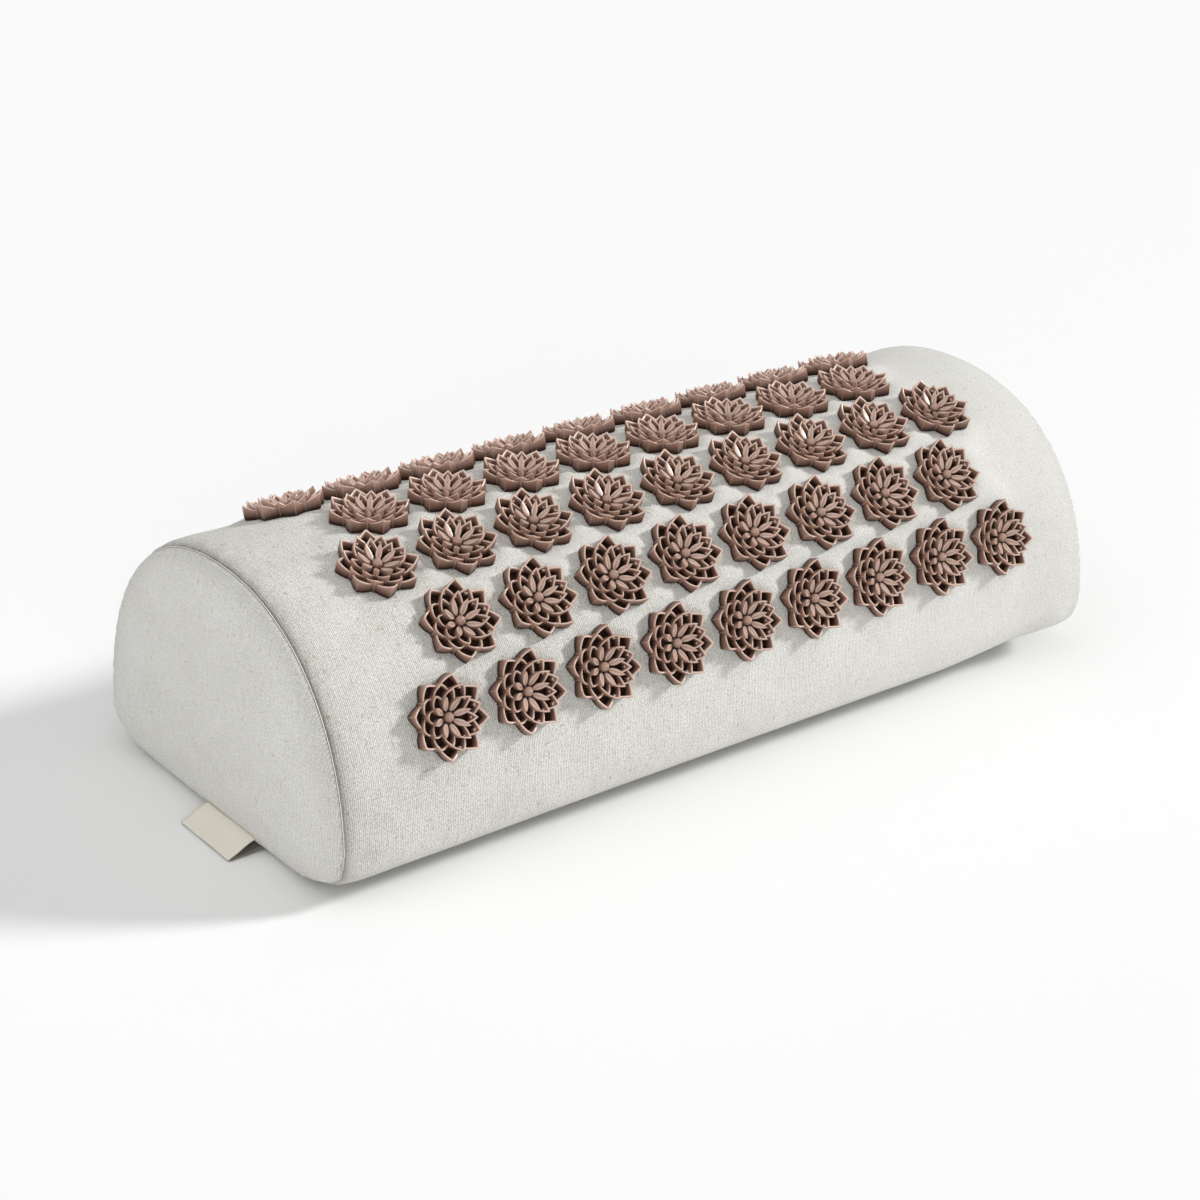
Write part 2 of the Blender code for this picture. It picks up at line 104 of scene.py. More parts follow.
def newPiece(name, points, faces, material, uv=None, marks=None, sharp=None):
    # marks are numbers on the points, and sharp is the angle past which an edge stays sharp
    mesh = bpy.data.meshes.new(name)
    mesh.from_pydata(np.asarray(points).tolist(), [], [list(face) for face in faces])
    mesh.materials.append(material)
    if uv is not None:
        layer = mesh.uv_layers.new(name="threads")
        layer.uv.foreach_set("vector", np.asarray(uv, np.float32).ravel())
    for word, values in (marks or {}).items():
        mark = mesh.attributes.new(word, "FLOAT", "POINT")
        mark.data.foreach_set("value", np.asarray(values, np.float32).ravel())
    mesh.shade_smooth()
    if sharp is not None:
        mesh.set_sharp_from_angle(angle=math.radians(sharp))
    mesh.update()
    piece = bpy.data.objects.new(name, mesh)
    bpy.context.scene.collection.objects.link(piece)
    return piece


def giveThickness(piece, thick):  # half to each side of the sheet
    skin = piece.modifiers.new("clothThickness", "SOLIDIFY")
    skin.thickness = thick
    skin.offset = 0.0


def joinShapes(shapes):  # (points, faces, marks) of several shapes as one
    points, faces, marks, start = [], [], {}, 0
    for shapePoints, shapeFaces, shapeMarks in shapes:
        points.append(shapePoints)
        faces.append(np.asarray(shapeFaces) + start)
        for word, values in shapeMarks.items():
            marks.setdefault(word, []).append(values)
        start += len(shapePoints)
    return np.concatenate(points), np.concatenate(faces), {k: np.concatenate(v) for k, v in marks.items()}


def ripple(values, lengths, seed):  # a sum of sines of the given wavelengths, between about -1 and 1
    total = np.zeros_like(values, dtype=float)
    for k, length in enumerate(lengths):
        total += np.sin(2 * np.pi * values / length + seed * (k + 1.7) * 1.31)
    return total / len(lengths)


def eased(share):  # a smooth step from nought to one
    return share * share * (3 - 2 * share)


def squared(wave, power):  # a sine or cosine drawn towards a square wave, its sign kept
    return np.sign(wave) * np.abs(wave) ** power


def directions(path):  # the unit way along a path at each of its points
    way = np.gradient(path, axis=0)
    return way / np.linalg.norm(way, axis=1)[:, None]


# materials
def addNode(tree, kind, inputs=None, **settings):
    node = tree.nodes.new(kind)
    for word, value in settings.items():
        setattr(node, word, value)
    for socket, value in (inputs or {}).items():
        if isinstance(value, bpy.types.NodeSocket):
            tree.links.new(value, node.inputs[socket])
        else:
            node.inputs[socket].default_value = value
    return node


def mathNode(tree, operation, a, b=None, c=None):
    inputs = {k: v for k, v in enumerate((a, b, c)) if v is not None}
    return addNode(tree, "ShaderNodeMath", inputs, operation=operation).outputs[0]


def noiseAt(tree, x, y, z, detail=2.0):  # smooth noise from three separate coordinates
    place = addNode(tree, "ShaderNodeCombineXYZ", {0: x, 1: y, 2: z}).outputs[0]
    noise = addNode(tree, "ShaderNodeTexNoise", {"Vector": place, "Scale": 1.0, "Detail": detail})
    return noise.outputs["Fac"]


def rangeOf(tree, value, low, high, toLow=0.0, toHigh=1.0):
    node = addNode(tree, "ShaderNodeMapRange", {0: value, 1: low, 2: high, 3: toLow, 4: toHigh})
    return node.outputs[0]


def mixColour(tree, factor, a, b):
    node = addNode(tree, "ShaderNodeMix", data_type="RGBA", blend_type="MIX")
    for socket, value in ((0, factor), (6, a), (7, b)):
        if isinstance(value, bpy.types.NodeSocket):
            tree.links.new(value, node.inputs[socket])
        elif isinstance(value, (int, float)):
            node.inputs[socket].default_value = value
        else:
            node.inputs[socket].default_value = (*value, 1.0)
    return node.outputs[2]


def newGroup(name, inputs, outputs):  # a shader node group with named sockets
    tree = bpy.data.node_groups.new(name, "ShaderNodeTree")
    for word, kind, value in inputs:
        socket = tree.interface.new_socket(name=word, in_out="INPUT", socket_type=kind)
        if value is not None:
            socket.default_value = value
    for word, kind in outputs:
        tree.interface.new_socket(name=word, in_out="OUTPUT", socket_type=kind)
    return tree, tree.nodes.new("NodeGroupInput").outputs, tree.nodes.new("NodeGroupOutput")


weavePattern = {
    "ribs": 0.46, "picks": 0.22, "crossed": 0.2,  # shares of the two thread ways and of their crossings
    "warp": 1.5, "weft": 0.5, "slow": 0.09,  # uneven threads, and how slowly they change along themselves
    "bend": 1.2, "bendScale": (0.1, 0.1), "fuzzScale": (1.3, 0.8),
    "cloud": 0.3, "cloudScale": (0.035, 0.035),
    "warpFlecks": (0.55, 0.24), "weftFlecks": (0.20, 0.6),
    "weaveHeight": 0.5, "threadHeight": 1.2,
}


def makeWeaveGroup(pattern):  # plain weave with uneven threads, slubs, soft clouds and flecks
    floatKind = "NodeSocketFloat"
    tree, given, out = newGroup(
        "clothWeave",
        [("Vector", "NodeSocketVector", None), ("Thread mm", floatKind, 0.8), ("Uneven", floatKind, 0.5),
         ("Fuzz", floatKind, 1.0), ("Contrast", floatKind, 0.5)],
        [("Shade", floatKind), ("Fleck", floatKind), ("Height", floatKind)],
    )

    def times(a, b):
        return mathNode(tree, "MULTIPLY", a, b)

    split = addNode(tree, "ShaderNodeSeparateXYZ", {0: given["Vector"]})
    scale = mathNode(tree, "DIVIDE", 100.0, given["Thread mm"])  # uv is in decimetres
    u = times(split.outputs[0], scale)
    v = times(split.outputs[1], scale)
    slow = [times(k, pattern["slow"]) for k in (u, v)]

    def noiseOver(scales, place, detail=2.0):  # noise over the threads, about 0.5 in the mean
        return noiseAt(tree, times(u, scales[0]), times(v, scales[1]), place, detail)

    bend = times(noiseOver(pattern["bendScale"], 5.0), pattern["bend"])
    uBent = times(mathNode(tree, "ADD", u, bend), math.pi)
    vBent = times(mathNode(tree, "ADD", v, bend), math.pi)
    ribs = mathNode(tree, "COSINE", times(uBent, 2.0))
    picks = mathNode(tree, "COSINE", times(vBent, 2.0))
    crossed = times(mathNode(tree, "COSINE", uBent), mathNode(tree, "COSINE", vBent))
    weave = mathNode(tree, "MULTIPLY_ADD", picks, pattern["picks"], times(ribs, pattern["ribs"]))
    weave = mathNode(tree, "MULTIPLY_ADD", crossed, pattern["crossed"], weave)
    warp = noiseAt(tree, u, slow[1], 1.0)
    weft = noiseAt(tree, slow[0], v, 7.0)
    threads = mathNode(tree, "MULTIPLY_ADD", weft, pattern["weft"], times(warp, pattern["warp"]))
    threads = times(mathNode(tree, "SUBTRACT", threads, 1.0), given["Uneven"])
    fuzz = noiseOver(pattern["fuzzScale"], 13.0, 3.0)
    fuzz = times(mathNode(tree, "SUBTRACT", fuzz, 0.5), given["Fuzz"])
    cloud = noiseOver(pattern["cloudScale"], 3.0, 3.0)
    cloud = times(mathNode(tree, "SUBTRACT", cloud, 0.5), pattern["cloud"])
    shade = mathNode(tree, "MULTIPLY_ADD", weave, given["Contrast"], 0.5)
    for part in (threads, cloud, fuzz):
        shade = mathNode(tree, "ADD", shade, part)
    first = noiseOver(pattern["warpFlecks"], 11.0)
    second = noiseOver(pattern["weftFlecks"], 17.0)
    fleck = mathNode(tree, "MAXIMUM", rangeOf(tree, first, 0.64, 0.72), rangeOf(tree, second, 0.66, 0.74))
    height = times(threads, pattern["threadHeight"])
    height = mathNode(tree, "MULTIPLY_ADD", weave, pattern["weaveHeight"], height)
    for word, value in (("Shade", shade), ("Fleck", fleck), ("Height", height)):
        tree.links.new(value, out.inputs[word])
    return tree


def makeGrainGroup():  # a fine even grain for moulded and metal surfaces
    floatKind = "NodeSocketFloat"
    tree, given, out = newGroup(
        "fineGrain",
        [("Vector", "NodeSocketVector", None), ("Grain per m", floatKind, 2000.0)],
        [("Grain", floatKind), ("Cloud", floatKind)],
    )
    fine = addNode(tree, "ShaderNodeTexNoise", {"Vector": given["Vector"], "Scale": given["Grain per m"]})
    slowScale = mathNode(tree, "MULTIPLY", given["Grain per m"], 0.06)
    slow = addNode(tree, "ShaderNodeTexNoise", {"Vector": given["Vector"], "Scale": slowScale})
    tree.links.new(fine.outputs["Fac"], out.inputs["Grain"])
    tree.links.new(slow.outputs["Fac"], out.inputs["Cloud"])
    return tree


weaveGroup = makeWeaveGroup(weavePattern)
grainGroup = makeGrainGroup()


def newMaterial(name):
    material = bpy.data.materials.new(name)
    material.use_nodes = True
    tree = material.node_tree
    return material, tree, tree.nodes["Principled BSDF"]


def markAt(tree, word):  # a number that a piece carries on its points
    return addNode(tree, "ShaderNodeAttribute", attribute_name=word).outputs["Fac"]


def clothMaterial(name, settings):
    material, tree, shader = newMaterial(name)
    threads = addNode(tree, "ShaderNodeUVMap", uv_map="threads").outputs[0]
    weave = addNode(tree, "ShaderNodeGroup", node_tree=weaveGroup)
    tree.links.new(threads, weave.inputs["Vector"])
    weave.inputs["Thread mm"].default_value = settings["threadMm"]
    for word in ("Uneven", "Fuzz", "Contrast"):
        weave.inputs[word].default_value = settings[word.lower()]
    shade, fleckShare, bumpShare = weave.outputs["Shade"], settings["fleckShare"], settings["bump"]
    if "soften" in settings:  # the weave shows less where the mark called soft is high
        kept = rangeOf(tree, markAt(tree, "soft"), 0.0, 1.0, 1.0, 1.0 - settings["soften"])
        meanShade = 0.62
        shade = mathNode(tree, "MULTIPLY_ADD", mathNode(tree, "SUBTRACT", shade, meanShade), kept, meanShade)
        fleckShare = mathNode(tree, "MULTIPLY", kept, fleckShare)
        bumpShare = mathNode(tree, "MULTIPLY", kept, bumpShare)
    colour = mixColour(tree, shade, settings["dark"], settings["light"])
    fleck = mathNode(tree, "MULTIPLY", weave.outputs["Fleck"], fleckShare)
    colour = mixColour(tree, fleck, colour, settings["fleck"])
    if "paintedShade" in settings:  # painted shade in and beside the seams and on the label's hidden lower layer
        colour = mixColour(tree, markAt(tree, "paintedShade"), colour, settings["paintedShade"])
    tree.links.new(colour, shader.inputs["Base Color"])
    shader.inputs["Roughness"].default_value = settings["roughness"]
    shader.inputs["Specular IOR Level"].default_value = settings["specular"]
    shader.inputs["Sheen Weight"].default_value = settings["sheen"]
    shader.inputs["Sheen Roughness"].default_value = 0.5
    bump = addNode(tree, "ShaderNodeBump", {"Strength": bumpShare, "Distance": settings["bumpM"]})
    tree.links.new(weave.outputs["Height"], bump.inputs["Height"])
    tree.links.new(bump.outputs[0], shader.inputs["Normal"])
    return material


wrapLinen = clothMaterial("wrapLinen", {
    "threadMm": 0.76, "uneven": 0.38, "fuzz": 1.6, "contrast": 0.56, "light": (0.90, 0.895, 0.86),
    "dark": (0.41, 0.40, 0.355), "fleck": (0.38, 0.33, 0.19), "fleckShare": 0.65, "roughness": 0.92,
    "specular": 0.2, "sheen": 0.1, "bump": 0.45, "bumpM": 0.0003, "paintedShade": (0.15, 0.135, 0.105),
    "soften": 0.5,
})
endLinen = clothMaterial("endLinen", {
    "threadMm": 0.74, "uneven": 0.35, "fuzz": 1.6, "contrast": 0.5, "light": (0.875, 0.87, 0.84),
    "dark": (0.52, 0.51, 0.47), "fleck": (0.42, 0.37, 0.25), "fleckShare": 0.45, "roughness": 0.92,
    "specular": 0.2, "sheen": 0.1, "bump": 0.35, "bumpM": 0.0003, "paintedShade": (0.14, 0.12, 0.09),
})
labelTape = clothMaterial("labelTape", {
    "threadMm": 0.4, "uneven": 0.35, "fuzz": 0.6, "contrast": 0.5, "light": (0.84, 0.81, 0.72),
    "dark": (0.72, 0.68, 0.58), "fleck": (0.5, 0.45, 0.33), "fleckShare": 0.2, "roughness": 0.8,
    "specular": 0.3, "sheen": 0.1, "bump": 0.3, "bumpM": 0.0001, "paintedShade": (0.05, 0.045, 0.035),
})
zipWeb = clothMaterial("zipWeb", {
    "threadMm": 0.5, "uneven": 0.3, "fuzz": 0.4, "contrast": 0.5, "light": (0.72, 0.70, 0.63),
    "dark": (0.55, 0.53, 0.46), "fleck": (0.5, 0.47, 0.4), "fleckShare": 0.1, "roughness": 0.85,
    "specular": 0.3, "sheen": 0.1, "bump": 0.4, "bumpM": 0.0002,
})


def grainMaterial(name, settings):
    material, tree, shader = newMaterial(name)
    place = addNode(tree, "ShaderNodeTexCoord").outputs["Object"]
    grain = addNode(tree, "ShaderNodeGroup", node_tree=grainGroup)
    tree.links.new(place, grain.inputs["Vector"])
    grain.inputs["Grain per m"].default_value = settings["grainPerM"]
    tone = rangeOf(tree, grain.outputs["Cloud"], 0.3, 0.7)
    colour = mixColour(tree, tone, settings["dark"], settings["light"])
    if "rim" in settings:  # moulded petals: painted shade in the cavities, whose gloss is turned down as well, and painted highlights on the rims
        lift = markAt(tree, "lift")
        rim = markAt(tree, "rim")
        colour = mixColour(tree, rangeOf(tree, lift, 0.15, 0.86, 1.0, 0.0), colour, settings["paintedCavityShade"])
        paintedHighlight = mathNode(tree, "MULTIPLY", rim, rangeOf(tree, grain.outputs["Cloud"], 0.2, 0.8, 0.7, 1.0))
        colour = mixColour(tree, paintedHighlight, colour, settings["rim"])
        shine = rangeOf(tree, lift, 0.1, 0.8, settings["cavityShine"], settings["specular"])
        tree.links.new(shine, shader.inputs["Specular IOR Level"])
    tree.links.new(colour, shader.inputs["Base Color"])
    rough = rangeOf(tree, grain.outputs["Grain"], 0.3, 0.7, settings["roughLow"], settings["roughHigh"])
    tree.links.new(rough, shader.inputs["Roughness"])
    shader.inputs["Metallic"].default_value = settings.get("metallic", 0.0)
    shader.inputs["Specular IOR Level"].default_value = settings.get("specular", 0.5)
    bump = addNode(tree, "ShaderNodeBump", {"Strength": settings["bump"], "Distance": settings["bumpM"]})
    tree.links.new(grain.outputs["Grain"], bump.inputs["Height"])
    tree.links.new(bump.outputs[0], shader.inputs["Normal"])
    return material


# its cavity colour is painted shade and its rim colour a painted highlight
lotusPlastic = grainMaterial("lotusPlastic", {
    "grainPerM": 1500.0, "light": (0.385, 0.221, 0.162), "dark": (0.325, 0.182, 0.132),
    "paintedCavityShade": (0.034, 0.016, 0.011), "rim": (0.92, 0.72, 0.605), "roughLow": 0.24, "roughHigh": 0.34,
    "specular": 0.5, "cavityShine": 0.08, "bump": 0.10, "bumpM": 0.0002,
})
zipMetal = grainMaterial("zipMetal", {
    "grainPerM": 4000.0, "light": (0.62, 0.61, 0.59), "dark": (0.50, 0.49, 0.47), "roughLow": 0.28,
    "roughHigh": 0.42, "metallic": 1.0, "bump": 0.1, "bumpM": 0.00005,
})
coilNylon = grainMaterial("coilNylon", {
    "grainPerM": 3000.0, "light": (0.72, 0.70, 0.63), "dark": (0.62, 0.60, 0.53), "roughLow": 0.35,
    "roughHigh": 0.5, "bump": 0.1, "bumpM": 0.00005,
})
sewingThread = grainMaterial("sewingThread", {
    "grainPerM": 6000.0, "light": (0.93, 0.91, 0.85), "dark": (0.80, 0.78, 0.70), "roughLow": 0.75,
    "roughHigh": 0.9, "bump": 0.5, "bumpM": 0.0001,
})
blockFoam = grainMaterial("blockFoam", {
    "grainPerM": 900.0, "light": (0.84, 0.81, 0.70), "dark": (0.72, 0.69, 0.57), "roughLow": 0.9,
    "roughHigh": 1.0, "bump": 0.6, "bumpM": 0.0005,
})
print("materials made")


# camera
cameraSettings = {
    "place": (-0.6377, -0.7566, 0.5165),
    "right": (0.7821, -0.6216, 0.0428),
    "up": (0.2399, 0.3639, 0.9000),
    "lensMm": 79.79, "sensorMm": 36.0, "nearest": 0.05, "farthest": 50.0,
}


def makeCamera(settings):
    lens = bpy.data.cameras.new("photoCamera")
    lens.sensor_fit = "HORIZONTAL"
    lens.sensor_width = settings["sensorMm"]
    lens.lens = settings["lensMm"]
    lens.clip_start = settings["nearest"]
    lens.clip_end = settings["farthest"]
    camera = bpy.data.objects.new("photoCamera", lens)
    bpy.context.scene.collection.objects.link(camera)
    right = Vector(settings["right"]).normalized()
    back = right.cross(Vector(settings["up"])).normalized()
    up = back.cross(right)
    turn = Matrix((right, up, back)).transposed().to_4x4()
    camera.matrix_world = Matrix.Translation(settings["place"]) @ turn
    bpy.context.scene.camera = camera


makeCamera(cameraSettings)


# the half-moon section
section = {"crownPower": 2.215, "cornerHeight": 0.015, "halfBase": 0.038, "samples": 3000, "baseSamples": 400}


def makeSectionTable(settings):
    # crown: y = w sin(a)^(2/p), z = c + (h - c) cos(a)^(2/p); corner: a quarter ellipse; base: a line
    power = 2 / settings["crownPower"]
    corner = settings["cornerHeight"]
    base = settings["halfBase"]
    angle = np.linspace(0, np.pi / 2, settings["samples"])
    sine = np.clip(np.sin(angle), 0, 1)
    cosine = np.clip(np.cos(angle), 0, 1)
    crown = np.stack([halfWidth * sine ** power, corner + (pillowHeight - corner) * cosine ** power], -1)
    low = np.stack([base + (halfWidth - base) * cosine, corner * (1 - sine)], -1)[1:]
    flatY = np.linspace(base, 0, settings["baseSamples"])[1:]
    curve = np.concatenate([crown, low, np.stack([flatY, np.zeros_like(flatY)], -1)])
    arc = np.concatenate([[0.0], np.cumsum(np.linalg.norm(np.diff(curve, axis=0), axis=1))])
    way = np.gradient(curve, arc, axis=0)
    way /= np.linalg.norm(way, axis=1)[:, None]
    return arc, curve, np.stack([-way[:, 1], way[:, 0]], -1)  # turned a quarter: the outward normal


sectionArc, sectionCurve, sectionNormal = makeSectionTable(section)
halfRound = sectionArc[-1]


def sectionAt(s):  # point and outward normal at an arc length from the crown's top, rear positive
    reach = np.abs(s)
    side = np.where(np.asarray(s) < 0, -1.0, 1.0)
    y = side * np.interp(reach, sectionArc, sectionCurve[:, 0])
    z = np.interp(reach, sectionArc, sectionCurve[:, 1])
    ny = side * np.interp(reach, sectionArc, sectionNormal[:, 0])
    nz = np.interp(reach, sectionArc, sectionNormal[:, 1])
    size = np.hypot(ny, nz)
    return y, z, ny / size, nz / size


# where the discs stand
discRows = {
    "pitch": 0.0356, "rowPitch": 0.0310, "longRow": 9, "rows": 7, "singleRows": 5, "turnDeg": -14.8,
    "seat": 0.0003,
}


def discCount(row):  # every second row has one disc fewer
    return discRows["longRow"] - (row + 1) % 2


def discFrame(row, column):  # rows from the front, columns from the left; axes are the matrix columns
    x = (column - (discCount(row) + 1) / 2) * discRows["pitch"]
    s = (row - (discRows["rows"] + 1) / 2) * discRows["rowPitch"]
    y, z, ny, nz = (float(k) for k in sectionAt(s))
    spot = np.array([x, y + ny * discRows["seat"], z + nz * discRows["seat"]])
    across = np.array([1.0, 0.0, 0.0])
    out = np.array([0.0, ny, nz])
    return spot, across, np.cross(out, across), out


discList = [(row, column) for row in range(1, discRows["rows"] + 1)
            for column in range(1, discCount(row) + 1)]


# the rear wall's flat, where the zip lies
zipWall = {
    "spot": (0.0, 0.08252, 0.0270), "lean": math.asin(0.078918), "halfZip": 0.1504, "slotHalf": 0.0035,
    "faceHalf": 0.0120, "rearFrom": 0.05,
    # how far the cloth is flat: in shares of the face's half height, and past the zip's end with a fade
    "flatUp": 1.6, "flatPast": 0.016, "flatFade": 0.014,
}
halfZip = zipWall["halfZip"]
wallSpot = np.array(zipWall["spot"])
wallOut = np.array([0.0, math.cos(zipWall["lean"]), math.sin(zipWall["lean"])])
wallUp = np.array([0.0, -math.sin(zipWall["lean"]), math.cos(zipWall["lean"])])


def onWall(x, out, up):  # points from places along, out of and up the rear wall
    x, out, up = np.broadcast_arrays(x, out, up)
    return wallSpot + x[..., None] * np.array([1.0, 0, 0]) + out[..., None] * wallOut + up[..., None] * wallUp


def toWall(points):  # and back: places along, out of and up the wall
    return points[..., 0], (points - wallSpot) @ wallOut, (points - wallSpot) @ wallUp


# cover
cover = {
    "cloth": 0.0012, "crown": 0.0070, "endPower": 6.0, "middleShare": 0.42, "seamGap": 0.0003,
    "stepAround": 0.0017, "stepAlong": 0.0022,
    # drawn in beside the seams, and flared out again further on
    "seamDraw": 0.0024, "seamRoll": 0.014, "valley": 0.0015, "valleyWidth": 0.0011,
    "flareRight": 0.0042, "flareLeft": 0.0008, "flareLength": 0.040, "rimOut": 0.0026,
    # waves: small ones beside the seams, at the right end and at the left one, and slow ones between
    "pucker": (0.00016, 0.00065), "puckerWaves": (0.0041, 0.0057, 0.0083, 0.0131), "puckerReach": 0.0065,
    "sag": 0.00025, "sagWaves": ((0.071, 0.113, 0.167), (0.053, 0.091)), "floorFade": 0.02,
    # the low corners, at the right end and at the left one
    "tuckLength": (0.080, 0.045), "tuckIn": (0.0068, 0.0030), "tuckUp": (0.0060, 0.0),
    "tuckEnd": (-0.0010, -0.0018), "tuckHeight": 0.026, "tuckFrom": 0.040, "tuckOver": 0.030,
    # extra lines of points beside the zip's slot and its ends, and rows beside a seam
    "slotLines": (0.0035, 0.0039, 0.0047, 0.0060), "slotEnds": (0.0, 0.0004, 0.0012),
    "edgeRows": (0.0, 0.0004, 0.0009, 0.0015, 0.0022, 0.003, 0.004, 0.0052, 0.0066, 0.0082, 0.01, 0.012),
    # the cloth's turned edge along the slot: its place, width and height
    "lipUp": 0.0052, "lipWidth": 0.0012, "lipHigh": 0.00035,
}
endMiddle = pillowHeight * cover["middleShare"]


def spread(low, high, step, extra):  # even places with extra ones put in near given lines
    count = math.floor((high - low) / step) + 1
    places = low + (high - low) * (np.arange(count + 1) / count)
    keep = np.min(np.abs(places[:, None] - extra[None, :]), axis=1) > step * 0.35
    keep[0] = keep[-1] = True
    return np.sort(np.concatenate([places[keep], extra]))


def bothSides(distances):  # the same lines on either side of nought
    lines = np.array(distances)
    return np.concatenate([-lines[::-1], lines])


def makeLines():  # where the cover's points lie: round the section, and along the pillow
    crownPart = slice(section["samples"])
    zipLine = float(np.interp(-wallSpot[2], -sectionCurve[crownPart, 1], sectionArc[crownPart]))
    lines = spread(-halfRound, halfRound, cover["stepAround"], zipLine + bothSides(cover["slotLines"]))
    rows = np.array(cover["edgeRows"])
    edge = halfLength - cover["seamRoll"]
    between = spread(-edge, edge, cover["stepAlong"], bothSides(halfZip + np.array(cover["slotEnds"])))
    return zipLine, lines[:-1], np.concatenate([-halfLength + rows, between, halfLength - rows[::-1]])


zipArc, around, along = makeLines()  # round the section the last column would be the first again


def endDraw(fromSeam):  # the rolled edge beside a seam: a quarter ellipse
    share = np.clip(fromSeam / cover["seamRoll"], 0, 1)
    return cover["seamDraw"] * (1 - np.sqrt(1 - (1 - share) ** 2))


def edgeInset(x):  # how far the cover is drawn in beside a seam: the roll, a sharper valley and the flare
    fromSeam = halfLength - np.abs(x)
    flare = np.where(x > 0, cover["flareRight"], cover["flareLeft"])
    near = np.clip(1 - fromSeam / cover["flareLength"], 0, 1)
    valley = cover["valley"] * np.exp(-fromSeam / cover["valleyWidth"])
    return endDraw(fromSeam) + valley - flare * eased(near)


def offFloor(z):  # nought at the floor, one from the fade's height up
    return np.clip(z / cover["floorFade"], 0, 1)


def flattenRear(points):  # the cloth lies flat along the zip
    x, out, up = toWall(points)
    beside = np.clip(zipWall["flatUp"] - np.abs(up) / zipWall["faceHalf"], 0, 1)
    near = beside * np.clip((halfZip + zipWall["flatPast"] - np.abs(x)) / zipWall["flatFade"], 0, 1)
    near = eased(near) * (points[..., 1] > zipWall["rearFrom"])
    return points - (np.clip(out, 0, None) * near)[..., None] * wallOut


# the cloth under a disc: flat below it, then falling away over a ring
discSeat = {
    "sunk": 0.00025, "flat": 0.0125, "fall": 0.0022, "fallOver": 0.0105, "soft": 0.0007,
    "reach": 0.034, "innerReach": 0.030, "depth": 0.015, "innerDepth": 0.012, "clearReach": 0.0172,
    "clearGap": 0.0001, "clearMost": 0.004,
}


def seatDiscs(points):  # the cloth is lifted to the back of each flat disc and falls away round it
    for row, column in discList:
        spot, xAxis, tAxis, nAxis = discFrame(row, column)
        offset = points - spot
        dn = offset @ nAxis
        far = np.hypot(offset @ xAxis, offset @ tAxis)
        fallen = np.clip(far - discSeat["flat"], 0, None) / discSeat["fallOver"]
        goal = -discSeat["sunk"] - discSeat["fall"] * fallen ** 2
        lift = np.where((far < discSeat["innerReach"]) & (dn > -discSeat["innerDepth"]), goal - dn, -1.0)
        lift = 0.5 * (lift + np.sqrt(lift * lift + discSeat["soft"] ** 2))  # a smooth maximum with zero
        lift = np.where((far < discSeat["reach"]) & (dn > -discSeat["depth"]), lift, 0.0)
        points = points + lift[..., None] * nAxis
    for row, column in discList:  # nothing stands up through a disc's plate
        spot, xAxis, tAxis, nAxis = discFrame(row, column)
        offset = points - spot
        far = np.hypot(offset @ xAxis, offset @ tAxis)
        over = np.clip(offset @ nAxis + discSeat["clearGap"], 0, None)
        over = np.where((far < discSeat["clearReach"]) & (over < discSeat["clearMost"]), over, 0.0)
        points = points - over[..., None] * nAxis
    return points


def tuckCorners(points):  # beside the end seams the low corners are drawn in and lifted
    right = points[..., 0] > 0
    length, endMove, inMove, upMove = (
        np.where(right, *cover[word]) for word in ("tuckLength", "tuckEnd", "tuckIn", "tuckUp"))
    near = np.clip((np.abs(points[..., 0]) - (halfLength - length)) / length, 0, 1)
    side = np.clip((np.abs(points[..., 1]) - cover["tuckFrom"]) / cover["tuckOver"], 0, 1)
    low = np.clip(1 - points[..., 2] / cover["tuckHeight"], 0, 1)
    move = np.stack([endMove, -inMove * np.sign(points[..., 1]), upMove], -1)
    return points + (near ** 1.5 * eased(side) * eased(low))[..., None] * move


def crownRings(rim, side, shares, crown):  # the rim scaled towards a middle point and crowned outwards
    share = shares[:, None]
    bulge = crown * np.sqrt(1 - share ** cover["endPower"])
    x = np.broadcast_to(side * (halfLength + bulge), (len(shares), len(rim)))
    return np.stack([x, rim[None, :, 1] * share, endMiddle + (rim[None, :, 2] - endMiddle) * share], -1)


# the filled cover swells between its seams and its discs: a cloth simulation on a coarse copy
swelling = {
    "rowStep": 0.0070, "columnStep": 0.0055, "endStep": 0.2, "start": 0.0005, "cap": 0.0010,
    "pressure": 4.0, "frames": 20, "quality": 6, "bending": 0.5,
    # held within these distances of a disc's middle, the floor and the zip's ends
    "heldDisc": 0.0115, "heldBase": 0.0006, "heldZip": 0.01,
}


def coarseCover():  # rows along the wrap and rings on both ends, closed, a little smaller than the cover
    count = 1 + int(round(2 * halfLength / swelling["rowStep"]))
    columns = int(round(2 * halfRound / swelling["columnStep"]))
    x = np.linspace(-halfLength, halfLength, count)
    y, z, ny, nz = sectionAt(-halfRound + 2 * halfRound * np.arange(columns) / columns)
    inset = cover["seamDraw"] * (np.abs(x) > halfLength - 0.001)
    inset = inset[:, None] + swelling["start"] * offFloor(z)[None, :]
    wrap = np.stack([np.broadcast_to(x[:, None], inset.shape), y - inset * ny, z - inset * nz], -1)
    shares = np.arange(1.0, 0.1, -swelling["endStep"])[1:]
    crown = cover["crown"] - swelling["start"]
    left, right = (crownRings(rim, side, shares, crown) for rim, side in ((wrap[0], -1), (wrap[-1], 1)))
    shape = np.concatenate([left[::-1], wrap, right])
    tip = halfLength + cover["crown"] - swelling["start"]
    points = np.concatenate([shape.reshape(-1, 3), [[-tip, 0, endMiddle], [tip, 0, endMiddle]]])
    faces = facesOut(points, cappedFaces(len(shape), columns))
    normal = np.stack([np.zeros(columns), ny, nz], -1)
    return points, faces, (len(shares), count, columns), normal


